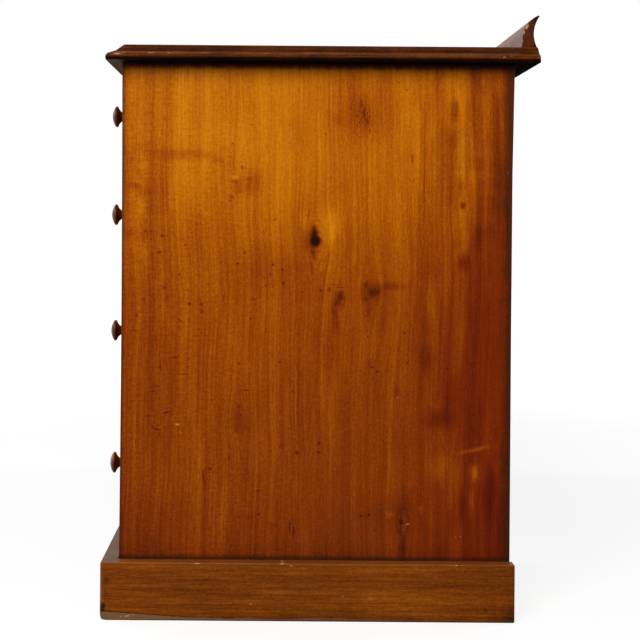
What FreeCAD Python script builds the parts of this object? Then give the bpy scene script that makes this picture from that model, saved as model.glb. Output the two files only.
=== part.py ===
"""Kneehole writing desk in polished walnut, with a low shaped gallery along the back.

The frame stands on the floor: +Z up, the drawer fronts face -Y, +X is the right hand of
the person who sits at it, and the origin is on the floor under the middle of the desk.
Millimetres throughout.
"""

import FreeCAD, Part
import os
import re
import Sketcher

# Driving sizes, one row each: the word that names it, its value, and what it measures.
SIZES = [
    ("pedestal_width", 310, "outside width of one pedestal"),
    ("kneehole_width", 551, "clear width between the two pedestals"),
    ("carcase_depth", 522, "front to back over the end panels"),
    ("panel_thickness", 20, "end panels and inner panels"),
    ("panel_lift", 5, "panels stop this far above the floor, inside the plinth"),
    ("panel_housing", 6, "depth of the grooves that hold rails and runners"),
    ("back_thickness", 10, "back boards of the pedestals"),
    ("back_rebate", 10, "how far a back board laps into a panel"),
    ("kneehole_back_thickness", 12, "board that closes the back of the kneehole"),
    ("kneehole_back_setback", 8, "how far that board stands in from the back"),
    ("plinth_height", 76.5, "plinth boards"),
    ("plinth_thickness", 22, "plinth boards"),
    ("plinth_tail", 3, "how far the side plinths run past the back"),
    ("floor_thickness", 18, "floor board of a pedestal"),
    ("floor_rise", 11, "floor board's upper face above the plinth's top"),
    ("rail_thickness", 18, "rails and runners between drawers"),
    ("rail_depth", 62, "rails, front to back"),
    ("top_rail_thickness", 7.8, "rails and strips under the top"),
    ("runner_width", 26, "runners, across the pedestal, outside their groove"),
    ("opening_bottom", 184, "height of the lowest drawer opening"),
    ("opening_third", 160, "height of the opening above it"),
    ("opening_second", 137, "height of the opening above that"),
    ("opening_top", 109, "height of the uppermost openings"),
    ("stop_length", 36, "drawer stops, across"),
    ("stop_depth", 14, "drawer stops, front to back"),
    ("stop_height", 6, "drawer stops"),
    ("stop_inset", 22, "drawer stops, in from the opening's sides"),
    ("stop_gap", 0.3, "between a stop and the back of a drawer front"),
    ("top_thickness", 22.7, "writing top"),
    ("overhang_front", 20.5, "top's nose past the drawer fronts"),
    ("overhang_side", 24, "top's nose past the end panels"),
    ("overhang_back", 32, "top's back edge past the end panels"),
    ("nose_undercut", 0.7, "moulding: the nose draws in under its widest line"),
    ("nose_rise", 3.1, "moulding: height of the widest line"),
    ("roll_inset", 4.2, "moulding: where the rounded nose ends"),
    ("roll_rise", 9.8, "moulding: height there"),
    ("slope_inset", 14.2, "moulding: where the slope above the nose ends"),
    ("slope_rise", 14.2, "moulding: height there"),
    ("quirk_inset", 15.6, "moulding: head of the small quirk"),
    ("quirk_rise", 16, "moulding: height there"),
    ("bevel_inset", 23.3, "moulding: where the writing surface starts"),
    ("gallery_rise", 43.4, "gallery above the writing surface"),
    ("gallery_base", 21, "gallery's thickness at its foot"),
    ("gallery_foot", 4, "how deep the gallery's foot is let into the top"),
    ("gallery_end", 27, "gallery's ends, in from the top's nose"),
    ("gallery_lip", 2.7, "how far the crest leans past the back edge"),
    ("gallery_crest", 1.2, "blunt edge of the crest"),
    ("gallery_face_rise", 12, "straight lower part of the gallery's face"),
    ("gallery_face_inset", 1.2, "how far that part draws in on its way up"),
    ("gallery_swell_rise", 30.2, "a point on the rounded face: its height"),
    ("gallery_swell_in", 6.4, "and its distance behind the foot"),
    ("gallery_hollow_rise", 20.5, "deepest point of the hollow back: its height"),
    ("gallery_waist", 16.4, "gallery's thickness there, from the foot's front"),
    ("front_thickness", 20, "drawer fronts"),
    ("front_lap", 6, "wood left in front of the dovetails"),
    ("side_thickness", 10, "drawer sides"),
    ("side_step", 3, "drawer sides stand lower than the front"),
    ("back_step", 8, "drawer backs stand lower than the sides"),
    ("drawer_back", 10, "drawer backs"),
    ("drawer_bottom", 6, "drawer bottoms"),
    ("bottom_rise", 11, "underside of a drawer bottom above the side's edge"),
    ("bottom_groove", 5, "depth of the groove that holds a drawer bottom"),
    ("groove_play", 0.1, "play of a drawer bottom in its groove, each way"),
    ("running_gap", 0.3, "under a drawer's sides"),
    ("side_gap", 0.8, "each side of a drawer"),
    ("head_gap", 1.5, "over a drawer front"),
    ("rear_gap", 12, "behind a pedestal drawer"),
    ("tail_pitch", 36, "dovetails, about one in each such height"),
    ("pin_width", 9, "dovetails: widest part of a pin"),
    ("tail_flare", 2.2, "dovetails: spread of each flank"),
    ("joint_play", 0.1, "dovetails: play round a tail"),
    ("knob_reach", 29, "knobs, from the drawer front to the crown"),
    ("knob_radius", 15, "knobs at the rim"),
    ("knob_rim_back", 6.2, "knobs: rim's widest line behind the crown"),
    ("knob_rim_edge", 1.9, "knobs: half thickness of the rounded rim"),
    ("knob_rim_draw", 1, "knobs: how far the rim rounds in"),
    ("knob_neck_radius", 4.3, "knobs at the neck"),
    ("knob_neck_reach", 10, "knobs: neck's thinnest line from the front"),
    ("knob_foot_radius", 8, "knobs: collar against the front"),
    ("knob_foot_reach", 2, "knobs: thickness of that collar"),
    ("knob_cove_reach", 4.6, "knobs: a point on the cove above the collar"),
    ("knob_cove_radius", 5.2, "knobs: radius there"),
    ("knob_hollow_reach", 15.5, "knobs: a point on the hollow behind the rim"),
    ("knob_hollow_radius", 7.2, "knobs: radius there"),
    ("tenon_radius", 5, "knobs: turned tenon"),
    ("tenon_length", 15, "knobs: turned tenon"),
    ("tenon_play", 0.3, "round and behind a knob's tenon"),
    ("centre_knob_pitch", 270, "between the two knobs of the middle drawer"),
    ("overrun", 2, "cuts run this far past the wood"),
]

doc = FreeCAD.newDocument("writing_desk")
sheet = doc.addObject("Spreadsheet::Sheet", "Sizes")
for row, (word, size, meaning) in enumerate(SIZES, start=1):
    sheet.set("A%d" % row, word)
    sheet.set("B%d" % row, str(size))
    sheet.set("C%d" % row, meaning)
    sheet.setAlias("B%d" % row, word)
doc.recompute()

WORDS = re.compile(r"\b(%s)\b" % "|".join(word for word, size, meaning in SIZES))


def sized(text):
    """An expression on the sheet, from one written with the plain words."""
    return WORDS.sub(r"Sizes.\1", text)


def value(text):
    """What such an expression is worth now."""
    return float(sheet.evalExpression(sized(text)))


def plus(*terms):
    return "(%s)" % " + ".join(terms)


def minus(first, *rest):
    return "(%s)" % " - ".join((first,) + rest)


# Places that many pieces share, each worked out from the sizes above. The drawer fronts
# and the panels' front edges lie in one plane, at FRONT_FACE.
BACK_REACH = "(carcase_depth + overhang_back + gallery_lip)"
FRONT_FACE = "((knob_reach - %s) / 2)" % BACK_REACH
HALF_CARCASE = "(kneehole_width / 2 + pedestal_width)"
HALF_KNEEHOLE = "(kneehole_width / 2)"
PEDESTAL_OPENING = "(pedestal_width - 2 * panel_thickness)"
INNER_DEPTH = "(carcase_depth - back_thickness)"
FLOOR_TOP = "(plinth_height + floor_rise)"
LEVELS = [FLOOR_TOP]
for opening in ("opening_bottom", "opening_third", "opening_second"):
    LEVELS.append(plus(LEVELS[-1], opening, "rail_thickness"))
STRIP_BASE = plus(LEVELS[-1], "opening_top")
TOP_BASE = plus(STRIP_BASE, "top_rail_thickness")
SURFACE = plus(TOP_BASE, "top_thickness")
SIDES = {"right": 1, "left": -1}


def place(piece, at):
    for axis, where in zip("xyz", at):
        piece.setExpression("Placement.Base." + axis, sized(where))


def block(label, at, size):
    """A planed board or strip, by its lowest corner and its three sizes."""
    piece = doc.addObject("Part::Box", label)
    for side, length in zip(("Length", "Width", "Height"), size):
        piece.setExpression(side, sized(length))
    place(piece, at)
    return piece


def recessed(label, at, size, recesses):
    """A board with rectangular recesses, each given from the board's own corner."""
    board = block(label + "_board", ("0", "0", "0"), size)
    tools = [
        block("%s_recess_%d" % (label, number), corner, extent)
        for number, (corner, extent) in enumerate(recesses)
    ]
    waste = doc.addObject("Part::Compound", label + "_waste")
    waste.Links = tools
    piece = doc.addObject("Part::Cut", label)
    piece.Base = board
    piece.Tool = waste
    place(piece, at)
    return piece


def group(label, members):
    """Like pieces that share one node, each its own solid."""
    piece = doc.addObject("Part::Compound", label)
    piece.Links = members
    return piece


def body(label):
    return doc.addObject("PartDesign::Body", label)


def sketch_on(owner, name, role, shift="0"):
    """A sketch on one of the body's own origin planes, moved along the plane's normal."""
    sketch = owner.newObject("Sketcher::SketchObject", name)
    plane = [item for item in owner.Origin.OriginFeatures if item.Role == role][0]
    sketch.AttachmentSupport = [(plane, "")]
    sketch.MapMode = "FlatFace"
    if shift != "0":
        sketch.setExpression("AttachmentOffset.Base.z", sized(shift))
    return sketch


def vector(point):
    return FreeCAD.Vector(value(point[0]), value(point[1]), 0)


def draw(sketch, outline):
    """Close an outline. An entry is a point that a line runs to, or a point on an arc
    and the point that the arc runs to."""
    count = len(outline)
    ends = [entry[-2:] for entry in outline]
    curves = []
    for number, entry in enumerate(outline):
        start = vector(ends[number - 1])
        finish = vector(ends[number])
        if len(entry) == 2:
            curve = sketch.addGeometry(Part.LineSegment(start, finish), False)
        else:
            curve = sketch.addGeometry(Part.Arc(start, vector(entry[:2]), finish), False)
        opening_gap = sketch.getPoint(curve, 1).distanceToPoint(start)
        closing_gap = sketch.getPoint(curve, 2).distanceToPoint(start)
        head, tail = (1, 2) if opening_gap < closing_gap else (2, 1)
        curves.append((curve, head, tail))
    rules = []
    fixed = []
    for number, entry in enumerate(outline):
        curve, head, tail = curves[number]
        following, start = curves[(number + 1) % count][:2]
        rules.append(Sketcher.Constraint("Coincident", curve, tail, following, start))
        fixed.append((curve, tail, ends[number]))
        if len(entry) > 2:
            mark = sketch.addGeometry(Part.Point(vector(entry[:2])), True)
            rules.append(Sketcher.Constraint("PointOnObject", mark, 1, curve))
            fixed.append((mark, 1, entry[:2]))
    sketch.addConstraint(rules)
    dimension(sketch, fixed)


def dimension(sketch, fixed):
    """Tie points of a sketch to the sheet: each is a curve, its end, and the place."""
    rules = []
    places = []
    for curve, end, point in fixed:
        for kind, where in zip(("DistanceX", "DistanceY"), point):
            rules.append(Sketcher.Constraint(kind, -1, 1, curve, end, value(where)))
            places.append(where)
    numbers = sketch.addConstraint(rules)
    for number, where in zip(numbers, places):
        sketch.setExpression("Constraints[%d]" % number, sized(where))


def rectangle(left, low, right, high):
    return [(right, low), (right, high), (left, high), (left, low)]


def pad(owner, sketch, length, middle=False, turned=False):
    feature = owner.newObject("PartDesign::Pad", sketch.Name + "_pad")
    feature.Profile = sketch
    feature.setExpression("Length", sized(length))
    feature.Midplane = middle
    feature.Reversed = turned
    return feature


def pocket(owner, sketch, length, middle=False, turned=False):
    feature = owner.newObject("PartDesign::Pocket", sketch.Name + "_cut")
    feature.Profile = sketch
    feature.setExpression("Length", sized(length))
    feature.Midplane = middle
    feature.Reversed = turned
    return feature


# Writing top: one wide board, its front and both ends moulded, its back edge left square.
HALF_TOP = plus(HALF_CARCASE, "overhang_side")
TOP_DEPTH = plus("overhang_front", "carcase_depth", "overhang_back")


def moulding(place_in):
    """The moulded edge from the underside up; place_in turns an inset into a coordinate."""
    return [
        (place_in("0"), "nose_rise", place_in("roll_inset"), "roll_rise"),
        (place_in("slope_inset"), "slope_rise"),
        (place_in("quirk_inset"), "quirk_rise"),
        (place_in("bevel_inset"), "top_thickness"),
    ]


def mirrored(outline, start):
    """The same stretch run the other way, to the point where it began."""
    points = [start] + outline
    back = []
    for number in range(len(points) - 1, 0, -1):
        entry = points[number]
        target = points[number - 1][-2:]
        back.append(entry[:2] + target if len(entry) == 4 else target)
    return back


def top_board():
    piece = body("top_board")
    right = moulding(lambda inset: minus(HALF_TOP, inset))
    left = moulding(lambda inset: minus(inset, HALF_TOP))
    left_start = (minus("nose_undercut", HALF_TOP), "0")
    section = [(minus(HALF_TOP, "nose_undercut"), "0")] + right + [left[-1]]
    section += mirrored(left, left_start)
    board = sketch_on(piece, "top_section", "XZ_Plane")
    draw(board, section)
    pad(piece, board, TOP_DEPTH, turned=True)
    clear_of_wood = minus("0", "overrun")
    above = plus("top_thickness", "overrun")
    front = moulding(lambda inset: inset)
    waste = [("nose_undercut", "0")] + front + [
        ("bevel_inset", above),
        (clear_of_wood, above),
        (clear_of_wood, clear_of_wood),
        ("nose_undercut", clear_of_wood),
    ]
    edge = sketch_on(piece, "top_front_edge", "YZ_Plane")
    draw(edge, waste)
    pocket(piece, edge, "2 * (%s + overrun)" % HALF_TOP, middle=True)
    seat = sketch_on(piece, "top_gallery_seat", "YZ_Plane")
    draw(seat, rectangle(
        minus(TOP_DEPTH, "gallery_base"),
        minus("top_thickness", "gallery_foot"),
        plus(TOP_DEPTH, "overrun"),
        above,
    ))
    pocket(piece, seat, "2 * (%s - gallery_end)" % HALF_TOP, middle=True)
    place(piece, ("0", minus(FRONT_FACE, "overhang_front"), TOP_BASE))
    return piece


# Gallery: a shaped rail let into the back of the top, rounded in front and hollow behind.
def gallery_rail():
    piece = body("gallery_rail")
    crest = plus("gallery_base", "gallery_lip")
    section = sketch_on(piece, "gallery_section", "YZ_Plane")
    draw(section, [
        ("0", "-gallery_foot"),
        ("0", "0"),
        ("gallery_face_inset", "gallery_face_rise"),
        (
            "gallery_swell_in", "gallery_swell_rise",
            minus(crest, "gallery_crest"), "gallery_rise",
        ),
        (crest, minus("gallery_rise", "gallery_crest")),
        ("gallery_waist", "gallery_hollow_rise", "gallery_base", "0"),
        ("gallery_base", "-gallery_foot"),
    ])
    pad(piece, section, "2 * (%s - gallery_end)" % HALF_TOP, middle=True)
    foot = minus(plus(FRONT_FACE, "carcase_depth", "overhang_back"), "gallery_base")
    place(piece, ("0", foot, SURFACE))
    return piece


# Carcase: four upright panels, grooved for the rails, runners and floor boards.
PANEL_HEIGHT = minus(TOP_BASE, "panel_lift")
KNEEHOLE_BACK = minus("carcase_depth", "kneehole_back_setback", "kneehole_back_thickness")
STRIPS = [(LEVELS[0], "floor_thickness")] + [(level, "rail_thickness") for level in LEVELS[1:]]


def inner_face(side, depth):
    """Across the panel: where a recess of this depth starts on its +1 or -1 face."""
    return minus("panel_thickness", depth) if side > 0 else "-overrun"


def upright(label, left, drawer_face, kneehole_face=0):
    """drawer_face and kneehole_face are +1 or -1: the face that looks along +X or -X."""
    groove = plus("panel_housing", "overrun")
    recesses = []
    for level, thickness in STRIPS:
        corner = (
            inner_face(drawer_face, "panel_housing"),
            "-overrun",
            minus(level, thickness, "panel_lift"),
        )
        recesses.append((corner, (groove, plus(INNER_DEPTH, "overrun"), thickness)))
    rebate = (inner_face(drawer_face, "back_rebate"), INNER_DEPTH, "-overrun")
    recesses.append((rebate, (
        plus("back_rebate", "overrun"),
        plus("back_thickness", "overrun"),
        plus(PANEL_HEIGHT, "2 * overrun"),
    )))
    if kneehole_face:
        corner = (
            inner_face(kneehole_face, "panel_housing"),
            "-overrun",
            minus(LEVELS[-1], "rail_thickness", "panel_lift"),
        )
        recesses.append((corner, (groove, plus(KNEEHOLE_BACK, "overrun"), "rail_thickness")))
    size = ("panel_thickness", "carcase_depth", PANEL_HEIGHT)
    return recessed(label, (left, FRONT_FACE, "panel_lift"), size, recesses)


def pedestal_left(side):
    """The pedestal's own left-hand edge, seen from the front."""
    return HALF_KNEEHOLE if side > 0 else minus("0", HALF_CARCASE)


def opening_left(side):
    return plus(pedestal_left(side), "panel_thickness")


def uprights(name, side):
    far = minus(plus(pedestal_left(side), "pedestal_width"), "panel_thickness")
    near = pedestal_left(side)
    outer, inner = (far, near) if side > 0 else (near, far)
    return [
        upright("end_panel_" + name, outer, -side),
        upright("inner_panel_" + name, inner, side, -side),
    ]


# Rails and runners: housed in the panels, the rails in front and the runners behind them.
def rails(label, left, across, levels):
    members = []
    for number, level in enumerate(levels):
        at = (minus(left, "panel_housing"), FRONT_FACE, minus(level, "rail_thickness"))
        size = (plus(across, "2 * panel_housing"), "rail_depth", "rail_thickness")
        members.append(block("%s_%d" % (label, number), at, size))
    at = (left, FRONT_FACE, STRIP_BASE)
    members.append(block(label + "_head", at, (across, "rail_depth", "top_rail_thickness")))
    return group(label, members)


def runners(label, left, across, levels, back):
    length = minus(back, "rail_depth")
    start = plus(FRONT_FACE, "rail_depth")
    right = plus(left, across)
    wide = plus("runner_width", "panel_housing")
    members = []
    for number, level in enumerate(levels):
        for hand, corner in (
            ("left", minus(left, "panel_housing")),
            ("right", minus(right, "runner_width")),
        ):
            at = (corner, start, minus(level, "rail_thickness"))
            name = "%s_%d_%s" % (label, number, hand)
            members.append(block(name, at, (wide, length, "rail_thickness")))
    for hand, corner in (("left", left), ("right", minus(right, "runner_width"))):
        at = (corner, start, STRIP_BASE)
        size = ("runner_width", length, "top_rail_thickness")
        members.append(block("%s_head_%s" % (label, hand), at, size))
    return group(label, members)


def floor_board(name, side):
    at = (
        minus(opening_left(side), "panel_housing"),
        FRONT_FACE,
        minus(FLOOR_TOP, "floor_thickness"),
    )
    size = (plus(PEDESTAL_OPENING, "2 * panel_housing"), INNER_DEPTH, "floor_thickness")
    return block("floor_board_" + name, at, size)


def back_board(name, side):
    inner_line = plus(FRONT_FACE, INNER_DEPTH)
    at = (minus(opening_left(side), "back_rebate"), inner_line, "panel_lift")
    size = (plus(PEDESTAL_OPENING, "2 * back_rebate"), "back_thickness", PANEL_HEIGHT)
    return block("back_board_" + name, at, size)


def kneehole_panel():
    at = (minus("0", HALF_KNEEHOLE), plus(FRONT_FACE, KNEEHOLE_BACK), "plinth_height")
    size = ("kneehole_width", "kneehole_back_thickness", minus(TOP_BASE, "plinth_height"))
    return block("kneehole_panel", at, size)


# Plinth: boards mitred at the front corners and fixed round the foot of each pedestal.
def plinth_board(label, at, outline):
    piece = body(label)
    plan = sketch_on(piece, label + "_plan", "XY_Plane")
    draw(plan, outline)
    pad(piece, plan, "plinth_height")
    place(piece, at)
    return piece


def plinths(name, side):
    left = pedestal_left(side)
    tail = plus("carcase_depth", "plinth_tail")
    pieces = [plinth_board("plinth_front_" + name, (left, FRONT_FACE, "0"), [
        ("0", "0"),
        ("-plinth_thickness", "-plinth_thickness"),
        (plus("pedestal_width", "plinth_thickness"), "-plinth_thickness"),
        ("pedestal_width", "0"),
    ])]
    for hand, corner in ((1, plus(left, "pedestal_width")), (-1, left)):
        where = "outer" if hand == side else "inner"
        out = "plinth_thickness" if hand > 0 else "-plinth_thickness"
        label = "plinth_%s_%s" % (where, name)
        pieces.append(plinth_board(label, (corner, FRONT_FACE, "0"), [
            ("0", "0"),
            (out, "-plinth_thickness"),
            (out, tail),
            ("0", tail),
        ]))
    return pieces


# Drawers: a front dovetailed to two sides, a dovetailed back, a bottom slid into grooves.
DRAWERS = [
    ("1", LEVELS[3], "opening_top"),
    ("2", LEVELS[2], "opening_second"),
    ("3", LEVELS[1], "opening_third"),
    ("4", LEVELS[0], "opening_bottom"),
]
BACK_BASE = plus("bottom_rise", "drawer_bottom", "groove_play")


def tails(low, high):
    """Up the joint: each tail's low root, low tip, high tip and high root."""
    count = max(2, round((value(high) - value(low)) / value("tail_pitch")))
    pitch = "(%s - %s) / %d" % (high, low, count)
    marks = []
    for number in range(count):
        foot = "(%s + %d * %s + pin_width / 2)" % (low, number, pitch)
        head = "(%s + %d * %s - pin_width / 2)" % (low, number + 1, pitch)
        marks.append((foot, minus(foot, "tail_flare"), plus(head, "tail_flare"), head))
    return marks


def sockets(owner, name, marks, root, tip, through, shift, turned):
    """Pockets for the tails in the end of a board; the tails point from root to tip."""
    blind_tip = tip if through else minus(tip, "joint_play")
    sketch = sketch_on(owner, name, "YZ_Plane", shift)
    for low_root, low_tip, high_tip, high_root in marks:
        draw(sketch, [
            (root, minus(low_root, "joint_play")),
            (blind_tip, minus(low_tip, "joint_play")),
            (blind_tip, plus(high_tip, "joint_play")),
            (root, plus(high_root, "joint_play")),
        ])
    pocket(owner, sketch, plus("side_thickness", "joint_play"), turned=turned)


def drawer_front(label, width, height, side_height, knob_places):
    piece = body("front_" + label)
    board = sketch_on(piece, label + "_front_face", "XZ_Plane")
    draw(board, rectangle("0", "0", width, height))
    pad(piece, board, "front_thickness", turned=True)
    marks = tails("0", side_height)
    ends = (("left", "0", True), ("right", width, False))
    for hand, shift, turned in ends:
        sockets(
            piece, "%s_front_%s" % (label, hand), marks,
            "front_thickness", "front_lap", False, shift, turned,
        )
    margin = minus("side_thickness", "bottom_groove")
    groove = sketch_on(piece, label + "_front_groove", "YZ_Plane", margin)
    draw(groove, rectangle(
        minus("front_thickness", "bottom_groove"),
        minus("bottom_rise", "groove_play"),
        plus("front_thickness", "overrun"),
        BACK_BASE,
    ))
    pocket(piece, groove, minus(width, "2 * " + margin), turned=True)
    for number, where in enumerate(knob_places):
        bore(piece, "%s_bore_%d" % (label, number), where, height)
    return piece


def bore(piece, label, where, height):
    """The hole that takes a knob's tenon, bored from the front."""
    hole = sketch_on(piece, label, "XZ_Plane")
    centre = (where, "%s / 2" % height)
    radius = "tenon_radius + tenon_play"
    hole.addGeometry(Part.Circle(vector(centre), FreeCAD.Vector(0, 0, 1), value(radius)), False)
    hole.addConstraint(Sketcher.Constraint("Radius", 0, value(radius)))
    hole.setExpression("Constraints[0]", sized(radius))
    dimension(hole, [(0, 3, centre)])
    pocket(piece, hole, "tenon_length + tenon_play")


def drawer_side(label, left, hand, length, height):
    piece = body("side_%s_%s" % (label, hand))
    back_top = minus(height, "back_step")
    back_face = minus(length, "drawer_back")
    outline = [("front_thickness", "0"), (length, "0"), (length, BACK_BASE), (back_face, BACK_BASE)]
    for low_root, low_tip, high_tip, high_root in tails(BACK_BASE, back_top):
        outline += [(back_face, low_root), (length, low_tip)]
        outline += [(length, high_tip), (back_face, high_root)]
    outline += [(back_face, back_top), (length, back_top), (length, height)]
    outline += [("front_thickness", height)]
    for low_root, low_tip, high_tip, high_root in reversed(tails("0", height)):
        outline += [("front_thickness", high_root), ("front_lap", high_tip)]
        outline += [("front_lap", low_tip), ("front_thickness", low_root)]
    board = sketch_on(piece, "%s_%s_side" % (label, hand), "YZ_Plane")
    draw(board, outline)
    pad(piece, board, "side_thickness")
    inside = "side_thickness" if hand == "left" else "0"
    groove = sketch_on(piece, "%s_%s_groove" % (label, hand), "YZ_Plane", inside)
    draw(groove, rectangle(
        "0", minus("bottom_rise", "groove_play"), plus(length, "overrun"), BACK_BASE,
    ))
    pocket(piece, groove, "bottom_groove", turned=hand == "right")
    place(piece, (left, "0", "0"))
    return piece


def drawer_back(label, length, width, height):
    piece = body("back_" + label)
    board = sketch_on(piece, label + "_back_face", "XZ_Plane")
    back_top = minus(height, "back_step")
    draw(board, rectangle("0", BACK_BASE, width, back_top))
    pad(piece, board, "drawer_back", turned=True)
    marks = tails(BACK_BASE, back_top)
    for hand, shift, turned in (("left", "0", True), ("right", width, False)):
        name = "%s_back_%s" % (label, hand)
        sockets(piece, name, marks, "0", "drawer_back", True, shift, turned)
    place(piece, ("0", minus(length, "drawer_back"), "0"))
    return piece


def turned_knob():
    """Turned in one piece: domed crown, rounded rim, hollow back, thin neck and tenon."""
    label = "turned_knob"
    piece = body(label)
    rim = "(knob_reach - knob_rim_back)"
    rim_radius = minus("knob_radius", "knob_rim_draw")
    crown_rise = "(knob_rim_back - knob_rim_edge)"
    ball = "((%s ^ 2 + %s ^ 2) / (2 * %s))" % (crown_rise, rim_radius, crown_rise)
    half_turn = "(asin(%s / %s) / 2)" % (rim_radius, ball)
    ball_centre = minus(ball, "knob_reach")
    outline = [
        ("tenon_length", "0"),
        ("tenon_length", "tenon_radius"),
        ("0", "tenon_radius"),
        ("0", "knob_foot_radius"),
        ("-knob_foot_reach", "knob_foot_radius"),
        ("-knob_cove_reach", "knob_cove_radius", "-knob_neck_reach", "knob_neck_radius"),
        (
            "-knob_hollow_reach", "knob_hollow_radius",
            minus("knob_rim_edge", rim), rim_radius,
        ),
        (minus("0", rim), "knob_radius", minus("0", rim, "knob_rim_edge"), rim_radius),
        (
            "(%s - %s * cos(%s))" % (ball_centre, ball, half_turn),
            "(%s * sin(%s))" % (ball, half_turn),
            "-knob_reach", "0",
        ),
    ]
    half = sketch_on(piece, label + "_section", "YZ_Plane")
    draw(half, outline)
    turning = piece.newObject("PartDesign::Revolution", label + "_turning")
    turning.Profile = half
    turning.ReferenceAxis = (half, ["H_Axis"])
    turning.Angle = 360
    return piece


def drawer_pattern(name, across, opening, back, knob_pitch=None):
    """The pieces of one size of drawer, set out from its lower left front corner."""
    label = "drawer_" + name
    width = minus(across, "2 * side_gap")
    height = minus(opening, "running_gap", "head_gap")
    side_height = minus(height, "side_step")
    length = minus(back, "rear_gap")
    middle = "(%s / 2)" % width
    knob_places = [middle]
    if knob_pitch:
        half = knob_pitch + " / 2"
        knob_places = [minus(middle, half), plus(middle, half)]
    front = drawer_front(label, width, height, side_height, knob_places)
    box = group(label + "_box", [
        drawer_side(label, "0", "left", length, side_height),
        drawer_side(label, minus(width, "side_thickness"), "right", length, side_height),
        drawer_back(label, length, width, side_height),
    ])
    margin = plus(minus("side_thickness", "bottom_groove"), "groove_play")
    start = plus(minus("front_thickness", "bottom_groove"), "groove_play")
    bottom = block(
        label + "_bottom",
        (margin, start, "bottom_rise"),
        (minus(width, "2 * " + margin), minus(length, start), "drawer_bottom"),
    )
    knobs = group(label + "_knobs", [
        repeat("%s_knob_%d" % (label, number), KNOB, (where, "0", "%s / 2" % height))
        for number, where in enumerate(knob_places)
    ])
    return {"front": front, "box": box, "bottom": bottom, "knob": knobs}


def repeat(label, pattern, at):
    """Another piece made to the same pattern, in its own place."""
    piece = group(label, [pattern])
    place(piece, at)
    return piece


def drawer(name, pattern, left, level):
    """One drawer in its opening: the nodes for its front, box, bottom and knobs."""
    at = (plus(left, "side_gap"), FRONT_FACE, plus(level, "running_gap"))
    pieces = []
    for kind, piece in pattern.items():
        word = "knobs" if kind == "knob" and name == "centre" else kind
        pieces.append(repeat("%s_%s" % (word, name), piece, at))
    return pieces


def stops(runs):
    """Two small blocks behind each drawer front, glued on what it runs over."""
    members = []
    for label, left, across, level in runs:
        right = minus(plus(left, across), "stop_inset", "stop_length")
        for hand, corner in (("left", plus(left, "stop_inset")), ("right", right)):
            at = (corner, plus(FRONT_FACE, "front_thickness", "stop_gap"), level)
            size = ("stop_length", "stop_depth", "stop_height")
            members.append(block("stop_%s_%s" % (label, hand), at, size))
    return group("drawer_stops", members)


pieces = [top_board(), gallery_rail(), kneehole_panel()]
KNOB = turned_knob()
patterns = {}
for number, level, opening in DRAWERS:
    patterns[number] = drawer_pattern(number, PEDESTAL_OPENING, opening, INNER_DEPTH)
runs = []
for name, side in SIDES.items():
    left = opening_left(side)
    pieces += uprights(name, side)
    pieces += plinths(name, side)
    pieces += [floor_board(name, side), back_board(name, side)]
    pieces.append(rails("drawer_rails_" + name, left, PEDESTAL_OPENING, LEVELS[1:]))
    pieces.append(
        runners("drawer_runners_" + name, left, PEDESTAL_OPENING, LEVELS[1:], INNER_DEPTH)
    )
    for number, level, opening in DRAWERS:
        label = "%s_%s" % (name, number)
        pieces += drawer(label, patterns[number], left, level)
        runs.append((label, left, PEDESTAL_OPENING, level))

left = minus("0", HALF_KNEEHOLE)
pieces.append(rails("centre_rails", left, "kneehole_width", LEVELS[-1:]))
pieces.append(runners("centre_runners", left, "kneehole_width", LEVELS[-1:], KNEEHOLE_BACK))
wide_drawer = drawer_pattern(
    "centre", "kneehole_width", "opening_top", KNEEHOLE_BACK, "centre_knob_pitch",
)
pieces += drawer("centre", wide_drawer, left, LEVELS[-1])
runs.append(("centre", left, "kneehole_width", LEVELS[-1]))
pieces.append(stops(runs))
doc.recompute()

failed = [item.Name for item in doc.Objects if {"Invalid", "Error"} & set(item.State)]
if failed:
    raise SystemExit("failed objects: " + ", ".join(failed))
for piece in pieces:
    if piece.Shape.isNull() or not piece.Shape.isValid():
        raise SystemExit("bad shape: " + piece.Label)

os.makedirs("parts", exist_ok=True)
for piece in pieces:
    piece.Shape.exportStep(os.path.join("parts", piece.Label + ".step"))
    print(piece.Label, len(piece.Shape.Solids), round(piece.Shape.Volume))
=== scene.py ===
"""Kneehole writing desk in polished walnut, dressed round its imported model.

Metres, in the model's own frame: +Z up, drawer fronts towards -Y, origin on the floor.
"""

import bmesh
import bpy
import math
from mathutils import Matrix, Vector, noise


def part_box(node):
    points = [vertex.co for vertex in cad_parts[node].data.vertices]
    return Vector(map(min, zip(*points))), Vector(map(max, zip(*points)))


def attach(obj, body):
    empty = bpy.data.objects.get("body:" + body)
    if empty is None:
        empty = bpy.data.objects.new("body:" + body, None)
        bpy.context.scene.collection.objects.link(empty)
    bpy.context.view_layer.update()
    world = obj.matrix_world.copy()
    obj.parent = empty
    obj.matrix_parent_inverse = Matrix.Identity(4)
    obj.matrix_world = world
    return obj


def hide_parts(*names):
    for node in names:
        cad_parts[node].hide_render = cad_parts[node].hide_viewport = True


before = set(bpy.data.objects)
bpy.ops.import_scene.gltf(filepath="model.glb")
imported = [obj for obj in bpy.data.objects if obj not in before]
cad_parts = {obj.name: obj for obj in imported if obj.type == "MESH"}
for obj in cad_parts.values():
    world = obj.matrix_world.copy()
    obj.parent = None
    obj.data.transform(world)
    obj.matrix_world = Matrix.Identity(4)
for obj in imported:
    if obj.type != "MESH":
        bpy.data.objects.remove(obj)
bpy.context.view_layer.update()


# End panels and inner panels: four upright boards of polished walnut, their grain standing,
# grooved for the rails and rebated for the back boards. Planed by hand, the arrises eased
# and rubbed; the wide boards have shrunk a little hollow along their edges.
MM = 0.001
HAIR = 0.03 * MM                    # how much a blank is smaller than its board, all round
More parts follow.
